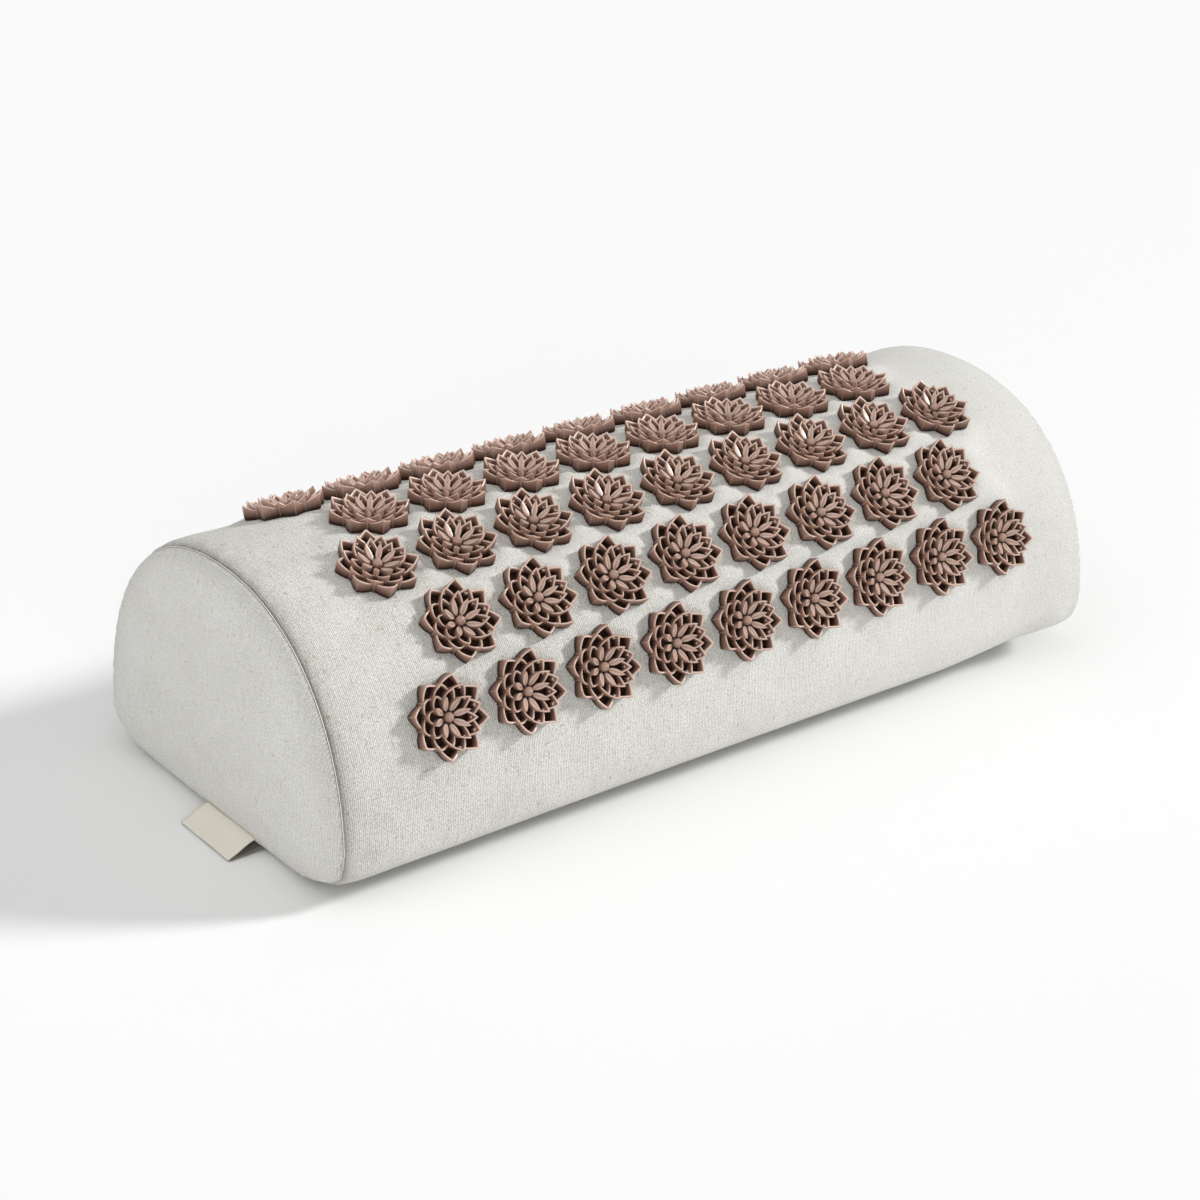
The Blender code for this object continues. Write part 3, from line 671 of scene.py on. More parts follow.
def heldPoints(points):  # seams, discs, the base and the zip don't move
    fromMiddle = np.abs(points[:, 0])
    held = np.abs(fromMiddle - halfLength) < 1e-6
    held |= points[:, 2] < swelling["heldBase"]
    onZip = (np.abs(toWall(points)[2]) < zipWall["faceHalf"]) & (fromMiddle < halfZip + swelling["heldZip"])
    held |= onZip & (points[:, 1] > zipWall["rearFrom"])
    for row, column in discList:
        spot, xAxis, tAxis, nAxis = discFrame(row, column)
        offset = points - spot
        far = np.hypot(offset @ xAxis, offset @ tAxis)
        held |= (far < swelling["heldDisc"]) & (np.abs(offset @ nAxis) < 0.01)
    return held


def swellCover():  # the coarse copy's movement, as heights over the wrap and over each end
    points, faces, (ringCount, count, columns), normal = coarseCover()
    ends = np.zeros((2, ringCount + 2, columns))
    copy = newPiece("swellingCopy", points, faces, wrapLinen)
    held = copy.vertex_groups.new(name="held")
    held.add(np.nonzero(heldPoints(points))[0].tolist(), 1.0, "REPLACE")
    cloth = copy.modifiers.new("swelling", "CLOTH")
    cloth.settings.use_pressure = True
    cloth.settings.uniform_pressure_force = swelling["pressure"]
    cloth.settings.effector_weights.gravity = 0.0
    cloth.settings.vertex_group_mass = "held"
    cloth.settings.quality = swelling["quality"]
    cloth.settings.bending_stiffness = swelling["bending"]
    cloth.point_cache.frame_start = 1
    cloth.point_cache.frame_end = swelling["frames"]
    for frameNumber in range(1, swelling["frames"] + 1):
        bpy.context.scene.frame_set(frameNumber)
    shown = copy.evaluated_get(bpy.context.evaluated_depsgraph_get())
    moved = np.empty(len(points) * 3, np.float32)
    shown.data.vertices.foreach_get("co", moved)
    move = moved.reshape(-1, 3) - points
    size = np.maximum(np.linalg.norm(move, axis=1), 1e-9)
    move *= (swelling["cap"] * np.tanh(size / swelling["cap"]) / size)[:, None]
    bpy.data.objects.remove(copy)
    bpy.context.scene.frame_set(1)
    grid = move[:-2].reshape(-1, columns, 3)
    wrap = np.einsum("rck,ck->rc", grid[ringCount:ringCount + count], normal)
    for k, (tip, rings) in enumerate(((move[-2], grid[:ringCount]), (move[-1], grid[:-ringCount - 1:-1]))):
        side = 2 * k - 1
        ends[k, 0] = side * tip[0]
        ends[k, 1:-1] = side * rings[..., 0]
    most, mean = round(size.max() * 1000, 2), round(size.mean() * 1000, 2)
    print("cover swollen: greatest move", most, "mm, mean", mean, "mm")
    return wrap, ends


def cubicShares(places, first, step, count, wraps):  # cubic weights of the even knots
    t = (places - first) / step
    t = t if wraps else np.clip(t, 0, count - 1 - 1e-9)
    knot = np.floor(t).astype(int)
    f = t - knot
    weights = (
        -0.5 * f + f ** 2 - 0.5 * f ** 3,
        1 - 2.5 * f ** 2 + 1.5 * f ** 3,
        0.5 * f + 2 * f ** 2 - 1.5 * f ** 3,
        -0.5 * f ** 2 + 0.5 * f ** 3,
    )
    table = np.zeros((len(places), count))
    for k, weight in enumerate(weights):
        index = (knot + k - 1) % count if wraps else np.clip(knot + k - 1, 0, count - 1)
        np.add.at(table, (np.arange(len(places)), index), weight)
    return table


wrapSwell, endSwell = swellCover()


def swellAt(x, s):  # how far the wrap stands off its section after the simulation
    count, columns = wrapSwell.shape
    alongShares = cubicShares(x, -halfLength, 2 * halfLength / (count - 1), count, False)
    aroundShares = cubicShares(s, -halfRound, 2 * halfRound / columns, columns, True)
    return alongShares @ wrapSwell @ aroundShares.T - swelling["start"] * offFloor(sectionAt(s)[1])[None, :]


def wrapSurface(x, s):  # the section carried along, drawn in at the seams, sagging a little between
    y, z, ny, nz = sectionAt(s)
    xx, yy = np.meshgrid(x, y, indexing="ij")
    zz, ss = (np.broadcast_to(k, xx.shape) for k in (z, s))
    normal = np.stack([np.zeros_like(xx), np.broadcast_to(ny, xx.shape), np.broadcast_to(nz, xx.shape)], -1)
    fromSeam = halfLength - np.abs(xx)
    pucker = ripple(ss + 0.3 * fromSeam * np.sign(xx), cover["puckerWaves"], 2.0 + np.sign(xx))
    pucker *= np.where(xx > 0, *cover["pucker"])
    shift = swellAt(x, s) - edgeInset(xx) + pucker * np.exp(-fromSeam / cover["puckerReach"])
    longWaves, roundWaves = cover["sagWaves"]
    wave = ripple(xx + 0.4 * ss, longWaves, 4.0) * ripple(ss - 0.2 * xx, roundWaves, 6.0)
    shift += cover["sag"] * wave * offFloor(zz)
    points = np.stack([xx, yy, zz], -1) + shift[..., None] * normal
    points[..., 2] = np.clip(points[..., 2], 0.0, None)
    return points


# painted shade in and beside the wrap's seams, and a broad painted shade towards its left end: strengths and
# widths, and the weave's way from crisp to soft
seamShade = {
    "line": 0.78, "lineWidth": 0.0012, "band": 0.16, "bandWidth": 0.0045, "left": 0.15, "leftReach": 0.045,
    "lowShare": 0.35, "lowFrom": 0.01, "lowOver": 0.05, "softFrom": -0.12, "softOver": 0.30,
}


def seamPaintedShade(points):  # painted shade: one in the seam, falling off within a few millimetres
    fromSeam = np.clip(halfLength + cover["seamGap"] - np.abs(points[:, 0]), 0, None)
    height = np.clip((points[:, 2] - seamShade["lowFrom"]) / seamShade["lowOver"], 0, 1)
    # the painted shade in the seam is weaker low down
    line = seamShade["line"] * (seamShade["lowShare"] + (1 - seamShade["lowShare"]) * height)
    band = line * np.exp(-(fromSeam / seamShade["lineWidth"]) ** 2)
    band += seamShade["band"] * np.exp(-(fromSeam / seamShade["bandWidth"]) ** 2)
    # a broad painted shade towards the left end, where the light falls off
    left = seamShade["left"] * np.exp(-fromSeam / seamShade["leftReach"])
    return band + np.where(points[:, 0] < 0, left, 0.0)


def outerWrap():  # the wrap's surface, flat along the zip, under the discs, with a lip along the slot
    outer = seatDiscs(flattenRear(tuckCorners(wrapSurface(along, around))))
    x, _, up = toWall(outer)
    lip = np.exp(-((np.abs(up) - cover["lipUp"]) / cover["lipWidth"]) ** 2)
    lip = lip * (np.abs(x) < halfZip + 0.001) * (outer[..., 1] > 0.06)
    return outer + (cover["lipHigh"] * lip)[..., None] * wallOut


def innerWrap(x):  # the section a cloth's thickness further in, pressed back behind the zip
    y, z, ny, nz = sectionAt(around)
    inset = (edgeInset(x) + cover["cloth"])[:, None]
    inner = np.stack([np.broadcast_to(x[:, None], (len(x), len(around))), y - inset * ny, z - inset * nz], -1)
    inner[..., 2] = np.maximum(inner[..., 2], cover["cloth"])
    _, out, up = toWall(inner)
    behind = (inner[..., 1] > zipWall["rearFrom"]) * (np.abs(up) < zipWall["faceHalf"])
    pressed = np.clip(out + cover["cloth"], 0, None) * behind
    return tuckCorners(inner - pressed[..., None] * wallOut)


def openGrid(x, start):  # faces and uv of a grid over x and around, less the quads over the zip's slot
    middleX = np.abs(x[:-1] + x[1:])[:, None] / 2
    middleS = np.abs(np.append(around[1:], around[0] + 2 * halfRound) + around - 2 * zipArc)[None, :] / 2
    keep = ~((middleX < halfZip) & (middleS < zipWall["slotHalf"])).ravel()
    uv = gridUv(x * 10, around * 10, True, halfRound * 20).reshape(-1, 4, 2)
    return gridFaces(len(x), len(around), True)[keep] + start, uv[keep]


def slotWalls(innerRows, slotRows, start):  # two long walls with many corners and two short ones
    columns = len(around)
    slotHalf = zipWall["slotHalf"]
    left, right = (int(np.argmin(np.abs(around - zipArc - k))) for k in (-slotHalf, slotHalf))
    r0, r1 = slotRows
    i0, i1 = (start + innerRows.index(r) * columns for r in slotRows)
    walls = []
    for c, turned in ((left, False), (right, True)):
        wall = [r * columns + c for r in range(r0, r1 + 1)] + [i1 + c, i0 + c]
        walls.append(wall if turned else wall[::-1])
    for r, i, turned in ((r0, i0, True), (r1, i1, False)):
        wall = [r * columns + c for c in range(left, right + 1)] + [i + c for c in range(right, left - 1, -1)]
        walls.append(wall if turned else wall[::-1])
    return walls


def makeWrap():  # the outer and the inner surface, joined at both ends and round the slot
    outer = outerWrap()
    rows, columns = outer.shape[:2]
    slotRows = [int(np.argmin(np.abs(along + k))) for k in (halfZip, -halfZip)]
    # the inner side has few rows: the seam's turn and the ends of the slot
    innerRows = [0, 4, 8, 13, *slotRows, rows - 14, rows - 9, rows - 5, rows - 1]
    inner = innerWrap(along[innerRows])
    start = rows * columns
    outerFaces, outerUv = openGrid(along, 0)
    innerFaces, innerUv = openGrid(along[innerRows], start)
    ring = np.arange(columns)
    after = (ring + 1) % columns
    top = (rows - 1) * columns
    last = (len(innerRows) - 1) * columns + start
    endLeft = np.stack([ring, after, after + start, ring + start], -1)
    endRight = np.stack([ring + last, after + last, after + top, ring + top], -1)
    walls = slotWalls(innerRows, slotRows, start)
    faces = np.concatenate([outerFaces[:, ::-1], innerFaces, endLeft, endRight]).tolist() + walls
    plainCorners = 8 * columns + sum(len(wall) for wall in walls)  # the edges need no weave
    uv = [outerUv[:, ::-1].reshape(-1, 2), innerUv.reshape(-1, 2), np.zeros((plainCorners, 2))]
    points = np.concatenate([outer.reshape(-1, 3), inner.reshape(-1, 3)])
    way = np.clip((points[:, 0] - seamShade["softFrom"]) / seamShade["softOver"], 0, 1)
    # the first mark is painted shade in and beside the seams; the second says where the weave shows less
    marks = {"paintedShade": seamPaintedShade(points), "soft": eased(way)}
    piece = newPiece("coverWrap", points, faces, wrapLinen, uv=np.concatenate(uv), marks=marks, sharp=55)
    print("wrap:", len(points), "points, volume", round(signedVolume(points, faces) * 1e6, 1), "ml")
    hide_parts("wrap_panel")
    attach(piece, "pillow")


# an end's rings, from its seam to near its middle; the back has fewer
endRings = {
    "outer": (1.0, 0.997, 0.992, 0.985, 0.975, 0.96, 0.94, 0.915, 0.885, 0.85, 0.81, 0.76, 0.7, 0.63,
              0.55, 0.46, 0.37, 0.28, 0.19, 0.1),
    "back": (1.0, 0.97, 0.92, 0.8, 0.55, 0.25),
    "turnIn": 0.0009, "turnBack": 0.0002,  # the edge's turn between them
    "rimWave": 0.00030, "rimWaves": (0.0047, 0.0066, 0.0094), "rimReach": 0.09,  # small waves beside the seam
    "slowWave": 0.0003, "slowWaves": ((0.06, 0.1), (0.05, 0.08)),  # and slow ones over the whole end
    "line": 0.07, "lineReach": 0.003, "band": 0.14, "bandReach": 0.10,  # painted shade along the seam
    "uvShift": (3.0, 1.7),
}


def endSurface(side, shares, inset, start, crown):
    # rings scaled to a point near the middle, crowned outwards by a high root, with small waves at the seam
    y, z, ny, nz = sectionAt(around)
    rimInset = cover["seamDraw"] + inset - (cover["rimOut"] if side > 0 else 0.0)
    rimY, rimZ = y - rimInset * ny, np.maximum(z - rimInset * nz, 0.0)
    share = shares[:, None]
    bulge = crown * np.sqrt(1 - np.clip(share, 0, 1) ** cover["endPower"])
    wave = ripple(around, endRings["rimWaves"], 9.0 + side)[None, :]
    wave = wave * np.exp(-(1 - share) / endRings["rimReach"])
    x = side * (halfLength + start + bulge + endRings["rimWave"] * wave * (share < 0.999))
    waveY, waveZ = endRings["slowWaves"]
    soft = ripple(rimY[None, :] * share, waveY, 3.0) * ripple(rimZ[None, :] * share, waveZ, 5.0)
    x = x + side * endRings["slowWave"] * soft * (1 - share ** 4)
    if crown:  # the simulation's movement of this end
        table = endSwell[(side + 1) // 2]
        knots = cubicShares(shares, 0.0, swelling["endStep"], len(table), False)
        turns = cubicShares(around, -halfRound, 2 * halfRound / table.shape[1], table.shape[1], True)
        x = x + side * (knots @ table @ turns.T - swelling["start"] * (1 - share ** 8))
    return tuckCorners(np.stack([x, rimY * share, endMiddle + (rimZ - endMiddle) * share], -1))


def makeEnd(name, node, side):  # the crowned front, a turned edge and the back, closed at both middles
    shares, backShares = np.array(endRings["outer"]), np.array(endRings["back"])
    gap = cover["seamGap"]
    outer = endSurface(side, shares, 0.0, gap, cover["crown"])
    turned = endSurface(side, np.array([1.0]), endRings["turnIn"], gap - endRings["turnBack"], 0.0)
    back = endSurface(side, backShares, cover["cloth"], gap, cover["crown"] - cover["cloth"])
    rings = np.concatenate([outer[::-1], turned, back])
    rows, columns = rings.shape[:2]
    tips = np.array([[rim[-1, :, 0].mean(), 0, endMiddle] for rim in (outer, back)])
    points = np.concatenate([rings.reshape(-1, 3), tips])
    faces = facesOut(points, cappedFaces(rows, columns))
    shiftU, shiftV = endRings["uvShift"]
    flat = points[:, 1:] * 10 + np.array([side * shiftU, shiftV])
    rowDepth = np.concatenate([1 - shares[::-1], np.zeros(rows - len(shares))])
    depth = np.append(np.repeat(rowDepth, columns), [1, 1])
    # painted shade in the seam and in a broad band beside it
    paintedShade = endRings["line"] * np.exp(-depth / endRings["lineReach"])
    paintedShade += endRings["band"] * np.exp(-(depth / endRings["bandReach"]) ** 2)
    uv = flat[np.concatenate(faces)]
    piece = newPiece(name, points, faces, endLinen, uv=uv, marks={"paintedShade": paintedShade}, sharp=70)
    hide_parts(node)
    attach(piece, "pillow")


# the foam: its gap to the cloth, its rows at the ends, and the two steps of the zip's groove
foam = {
    "gap": 0.0009, "crownGap": 0.0004, "stepAround": 0.006, "endRows": (0.0, 0.003, 0.008, 0.014),
    "middleRows": 60, "lastRow": 0.008, "endShares": (0.985, 0.94, 0.84, 0.62, 0.32),
    "grooveLines": (0.0045, 0.0052, 0.0116, 0.0125),
    # each step's half width, its reach past the zip's end, and its depth
    "wide": (0.0120, 0.0075, -0.0026), "deep": (0.0049, 0.0, -0.0040),
}


def makeFoam():  # the block fills the cover and has a groove for the zip
    rows = np.array(foam["endRows"])
    lastRow = halfZip + foam["lastRow"]
    x = np.concatenate([-halfLength + rows, np.linspace(-lastRow, lastRow, foam["middleRows"]),
                        halfLength - rows[::-1]])
    s = spread(-halfRound, halfRound, foam["stepAround"], zipArc + bothSides(foam["grooveLines"]))[:-1]
    y, z, ny, nz = sectionAt(s)
    draw = (endDraw(halfLength - np.abs(x)) + (cover["cloth"] + foam["gap"]))[:, None]
    tube = np.stack([np.broadcast_to(x[:, None], (len(x), len(s))), y - draw * ny, z - draw * nz], -1)
    wx, out, up = toWall(tube)
    goal = np.ones_like(out)
    for halfUp, past, depth in (foam["wide"], foam["deep"]):
        inside = (np.abs(wx) < halfZip + past) & (np.abs(up) < halfUp) & (tube[..., 1] > zipWall["rearFrom"])
        goal = np.where(inside, depth, goal)
    tube = tube + np.minimum(goal - out, 0)[..., None] * wallOut
    shares = np.array(foam["endShares"])
    crown = cover["crown"] - cover["cloth"] - foam["crownGap"]
    left, right = (crownRings(rim, side, shares, crown) for rim, side in ((tube[0], -1), (tube[-1], 1)))
    shape = tuckCorners(np.concatenate([left[::-1], tube, right]))
    block = shape.reshape(-1, 3)
    points = np.concatenate([block, [[block[k, 0], 0, endMiddle] for k in (0, -1)]])
    faces = facesOut(points, cappedFaces(*shape.shape[:2]))
    piece = newPiece("foamBlock", points, faces, blockFoam, sharp=50)
    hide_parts("foam_core")
    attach(piece, "pillow")


makeWrap()
makeEnd("coverEndLeft", "end_panel_left", -1)
makeEnd("coverEndRight", "end_panel_right", 1)
makeFoam()
print("cover and foam made")


# lotus discs
lotus = {
    "petals": 8, "plate": 0.0010, "plateInset": 0.0003, "bulge": 0.00050,
    "arcShares": (0.0, 0.035, 0.16, 0.34, 0.5, 0.66, 0.84, 0.965),
    # tip radius, valley radius, tip height, valley height, wall thickness, first tip's angle
    "rings": ((0.0160, 0.0122, 0.0059, 0.0035, 0.00090, 0.0),
              (0.0132, 0.0099, 0.0061, 0.0033, 0.00080, 22.5),
              (0.0108, 0.0071, 0.0065, 0.0033, 0.00075, 0.0)),
    # a wall's section: offset inwards as a share of the thickness, height share, rim mark for the painted
    # highlight
    "wallSection": ((0.0, 0.0, 0), (0.02, 0.88, 0), (0.16, 0.955, 0.45), (0.40, 1.0, 0.75), (0.66, 0.985, 1),
                    (0.88, 0.93, 0.8), (0.98, 0.86, 0.1), (1.0, 0.0, 0)),
    # a leaf's section: place across as a share of the half width, height share, rim mark for the painted
    # highlight
    "leafSection": ((-1.0, 0.0, 0), (-1.0, 0.90, 0.2), (-0.82, 0.975, 0.6), (0.0, 1.0, 0.10),
                    (0.82, 0.975, 0.6), (1.0, 0.90, 0.2), (1.0, 0.0, 0)),
    "leafTip": 0.0079, "leafFoot": 0.0023, "leafHalfWidth": 0.00120, "leafLeast": 0.00005,
    "leafTop": 0.0066, "leafLow": 0.0028, "leafSteps": 9,
    # the core's radius, height and rim mark for the painted highlight, from its foot to its point
    "core": ((0.0001, 0.0004, 0), (0.00209, 0.0004, 0), (0.0019, 0.0036, 0.1), (0.001634, 0.0040, 0.15),
             (0.00030, 0.0056, 0.3), (0.00002, 0.00565, 0.3)),
    # powers that round a wall's top line, a leaf's half width (inner, outer) and its top line
    "wallPower": 1.3, "leafPowers": (0.85, 0.7), "leafTopPower": 1.2,
    # where the painted cavity shade ends, the painted highlight on each tip's upright edge, and how much
    # painted shade stays in each valley
    "liftTop": 0.0055, "tipHighlight": 0.25, "paintedValleyShade": 0.45,
}
petalStep = 180 / lotus["petals"]  # degrees from a petal's tip to the valley beside it


def petalPath(tip, valley, first):  # a closed ring of pointed arches: each half petal is a bulged arc
    t = np.array(lotus["arcShares"])
    points = []
    for k in range(2 * lotus["petals"]):
        a0 = math.radians(first + petalStep * k)
        a1 = math.radians(first + petalStep * (k + 1))
        r0, r1 = (tip, valley) if k % 2 == 0 else (valley, tip)
        p0 = np.array([r0 * math.cos(a0), r0 * math.sin(a0)])
        p1 = np.array([r1 * math.cos(a1), r1 * math.sin(a1)])
        side = np.array([(p1 - p0)[1], -(p1 - p0)[0]])
        side /= np.linalg.norm(side)
        arc = p0 + (p1 - p0) * t[:, None] + side * (4 * t * (1 - t) * lotus["bulge"])[:, None]
        rise = t if k % 2 else 1 - t  # one at a tip, nought in a valley
        points.append(np.concatenate([arc, rise[:, None]], 1))
    return np.concatenate(points)


def liftOf(z):  # how far up a petal stands, for its painted shade
    return np.clip(z / lotus["liftTop"], 0, 1)


def petalWall(tip, valley, tipHeight, valleyHeight, thick, first):
    # a rounded wall section carried along the ring, its inner side offset by the mitred normal
    path = petalPath(tip, valley, first)
    flat, rise = path[:, :2], path[:, 2]
    before, after = flat - np.roll(flat, 1, 0), np.roll(flat, -1, 0) - flat
    n0 = np.stack([before[:, 1], -before[:, 0]], 1) / np.linalg.norm(before, axis=1)[:, None]
    n1 = np.stack([after[:, 1], -after[:, 0]], 1) / np.linalg.norm(after, axis=1)[:, None]
    mitre = (n0 + n1) / (1 + np.sum(n0 * n1, axis=1))[:, None]
    top = valleyHeight + (tipHeight - valleyHeight) * rise ** lotus["wallPower"]
    low = lotus["plate"] * 0.5
    rings, lift, rim = [], [], []
    ridgeHighlight = np.where(rise > 0.999, lotus["tipHighlight"], 0.0)  # the upright edge at each tip gets a painted highlight too
    fold = np.where(rise < 0.04, lotus["paintedValleyShade"], 1.0)  # and the upright line in each valley keeps painted shade
    for inward, share, mark in lotus["wallSection"]:
        spot = flat - mitre * (inward * thick)
        z = low + (top - low) * share
        rings.append(np.concatenate([spot, z[:, None]], 1))
        lift.append(liftOf(z) * np.where(inward < 0.1, fold, 1.0))
        rim.append(np.maximum(mark, ridgeHighlight * (inward < 0.1)))
    points = np.stack(rings, 1)  # along the path, then round the section
    faces = loopedFaces(*points.shape[:2])
    points = points.reshape(-1, 3)
    marks = {"lift": np.stack(lift, 1).ravel(), "rim": np.stack(rim, 1).ravel()}
    return points, quadsOut(points, faces), marks


def leafSpike(angle):
    # along the leaf the half width is a lens and the top rises to the tip; across it is a rounded roof
    a = np.linspace(0, 1, lotus["leafSteps"])
    inner, outer = lotus["leafPowers"]
    wide = np.maximum(lotus["leafHalfWidth"] * np.sin(np.pi * a ** inner) ** outer, lotus["leafLeast"])
    radius = lotus["leafFoot"] + (lotus["leafTip"] - lotus["leafFoot"]) * a
    top = lotus["leafLow"] + (lotus["leafTop"] - lotus["leafLow"]) * a ** lotus["leafTopPower"]
    low = lotus["plate"] * 0.5
    layers = [np.stack([radius, across * wide, low + (top - low) * share], 1)
              for across, share, _ in lotus["leafSection"]]
    points = np.stack(layers, 1)
    rows, columns = points.shape[:2]
    rim = np.tile([mark for _, _, mark in lotus["leafSection"]], rows)
    marks = {"lift": liftOf(points[..., 2]).ravel(), "rim": rim}
    c, s = math.cos(math.radians(angle)), math.sin(math.radians(angle))
    x, y, z = points.reshape(-1, 3).T
    points = np.stack([x * c - y * s, x * s + y * c, z], 1)
    ends = np.array([[0, 1, 5, 6], [1, 2, 4, 5]])
    caps = np.concatenate([ends, (ends + (rows - 1) * columns)[:, ::-1]])
    return points, quadsOut(points, np.concatenate([gridFaces(rows, columns, True), caps])), marks


def makeCore():  # rings of a section of (radius, height) about the axis, with a low point
    radius, height, mark = np.array(lotus["core"]).T
    sides = lotus["petals"]
    angle = math.radians(petalStep) + 2 * np.pi * np.arange(sides) / sides
    x, y = radius[:, None] * np.cos(angle), radius[:, None] * np.sin(angle)
    rings = np.stack([x, y, np.broadcast_to(height[:, None], x.shape)], -1)
    points = rings.reshape(-1, 3)
    faces = quadsOut(points, gridFaces(*rings.shape[:2], True))
    return points, faces, {"lift": liftOf(points[:, 2]), "rim": np.repeat(mark, sides)}


def makePlate():  # the outer ring's outline, a little smaller, filled towards the middle
    tip, valley, _, _, _, first = lotus["rings"][0]
    outline = petalPath(tip, valley, first)[:, :2] * (1 - lotus["plateInset"] / tip)
    high = lotus["plate"]
    # (scale, height) of each layer, from the middle of the back to the middle of the front
    layers = ((0.002, 0), (0.5, 0), (1.0, 0), (1.0, high * 0.75), (0.93, high), (0.5, high), (0.002, high))
    rings = np.stack([np.concatenate([outline * k, np.full((len(outline), 1), h)], 1) for k, h in layers])
    points = rings.reshape(-1, 3)
    # the plate takes the full painted cavity shade and no painted highlight
    blank = np.zeros(len(points))
    return points, quadsOut(points, gridFaces(*rings.shape[:2], True)), {"lift": blank, "rim": blank}


def makeLotusShape():
    walls = [petalWall(*ring) for ring in lotus["rings"]]
    leaves = [leafSpike(petalStep * (2 * k + 1)) for k in range(lotus["petals"])]
    return joinShapes(walls + leaves + [makeCore(), makePlate()])


lotusShape = makeLotusShape()


def placedLotus(row, column):  # the shape turned by the discs' common angle and set in its frame
    points, faces, marks = lotusShape
    spot, xAxis, tAxis, nAxis = discFrame(row, column)
    turn = math.radians(discRows["turnDeg"])
    across = xAxis * math.cos(turn) + tAxis * math.sin(turn)
    upward = tAxis * math.cos(turn) - xAxis * math.sin(turn)
    return spot + points[:, :1] * across + points[:, 1:2] * upward + points[:, 2:] * nAxis, faces, marks


def makeDiscs():  # the rows in front are single discs, each of the others is one piece
    for row in range(1, discRows["rows"] + 1):
        columns = range(1, discCount(row) + 1)
        if row <= discRows["singleRows"]:
            wholes = [(f"lotus_{row}_{column}", f"lotus_disc_{row}_{column}", [column]) for column in columns]
        else:
            wholes = [(f"lotus_row_{row}", f"lotus_disc_row_{row}", columns)]
        for name, node, members in wholes:
            points, faces, marks = joinShapes([placedLotus(row, column) for column in members])
            piece = newPiece(name, points, faces, lotusPlastic, marks=marks, sharp=28)
            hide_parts(node)
            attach(piece, "pillow")
    low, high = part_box("lotus_disc_1_1")
    first = placedLotus(1, 1)[0]
    lowOff, highOff = first.min(0) - np.array(low), first.max(0) - np.array(high)
    print("discs made:", len(lotusShape[1]), "faces each, first one's box off by",
          np.round(lowOff * 1000, 2), np.round(highOff * 1000, 2), "mm")


makeDiscs()


# label: its layers are paths of (share along, share up) from the seam to the fold
label = {
    "width": 0.0338, "centre": -0.0120, "cloth": 0.00042, "gap": 0.0001, "reach": 0.0163, "rise": 0.0061,
    "foot": 0.00100, "drop": 0.08, "lift": 0.00012,
    "along": (0.03, 0.10, 0.185, 0.245, 0.305, 0.49, 0.74, 0.985),
    "up": (0.12, 0.26, 0.51, 0.79, 0.95, 0.76, 0.34, 0.0),
    "low": (0.12, 0.11, 0.07, 0.04, 0.02, 0.0, 0.0, 0.0),
    "layerPoints": 30, "pathPoints": 70, "acrossPoints": 24, "lowerFrom": 0.54, "shade": 0.75,
}


def smoothPath(points, count):  # a cubic curve through the points, evenly spaced along its length
    points = np.asarray(points, float)
    padded = np.concatenate([[2 * points[0] - points[1]], points, [2 * points[-1] - points[-2]]])
    t = np.linspace(0, len(points) - 1 - 1e-9, 600)
    i = t.astype(int)
    f = (t - i)[:, None]
    p0, p1, p2, p3 = padded[i], padded[i + 1], padded[i + 2], padded[i + 3]
    squareTerm = 2 * p0 - 5 * p1 + 4 * p2 - p3
    cubeTerm = 3 * p1 - p0 - 3 * p2 + p3
    curve = 0.5 * (2 * p1 + (p2 - p0) * f + squareTerm * f ** 2 + cubeTerm * f ** 3)
    arc = np.concatenate([[0], np.cumsum(np.linalg.norm(np.diff(curve, axis=0), axis=1))])
    even = np.linspace(0, arc[-1], count)
    return np.stack([np.interp(even, arc, curve[:, k]) for k in range(curve.shape[1])], 1), arc[-1]


def makeLabel():  # one strip: out along the upper layer, round the fold and back below it
    apart = label["cloth"] + label["gap"]
    out = -halfLength - label["reach"] * np.array(label["along"])
    high, low = (foot + (label["rise"] - label["foot"]) * np.array(label[word])
                 for word, foot in (("up", label["foot"]), ("low", label["foot"] - apart)))
    upper, lower = (smoothPath(np.stack([out, z], 1), label["layerPoints"])[0] for z in (high, low))
    middle = (upper[-1] + lower[-1]) / 2
    turn = np.linspace(0, np.pi, 9)[1:-1, None]
    fold = middle + (upper[-1] - middle) * np.cos(turn) + directions(upper)[-1] * (apart / 2) * np.sin(turn)
    path, length = smoothPath(np.concatenate([upper, fold, lower[::-1]]), label["pathPoints"])
    y = np.linspace(-0.5, 0.5, label["acrossPoints"]) * label["width"] + label["centre"]
    rows, columns = len(path), len(y)
    settled = 1 - label["drop"] * (y - y[0])[None, :] / label["width"]  # lower towards the back
    floorHeight = path[:, 1:].min()
    wave = label["lift"] * (1 + ripple(y, (0.021, 0.034), 3.0))[None, :]
    z = floorHeight + (path[:, 1:] - floorHeight) * settled + wave
    x = np.broadcast_to(path[:, :1], (rows, columns))
    points = np.stack([x, np.broadcast_to(y, (rows, columns)), z], -1).reshape(-1, 3)
    uv = gridUv(np.linspace(0, length * 10, rows), y * 10)
    inside = np.linspace(0, 1, rows) > label["lowerFrom"]  # the lower layer, seen only through the open end, is painted with shade
    marks = {"paintedShade": np.repeat(label["shade"] * inside, columns)}
    piece = newPiece("bareLabel", points, gridFaces(rows, columns), labelTape, uv=uv, marks=marks)
    giveThickness(piece, label["cloth"])
    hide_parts("side_label")
    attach(piece, "pillow")
    print("label made, cut length", round(length * 1000, 1), "mm")


makeLabel()


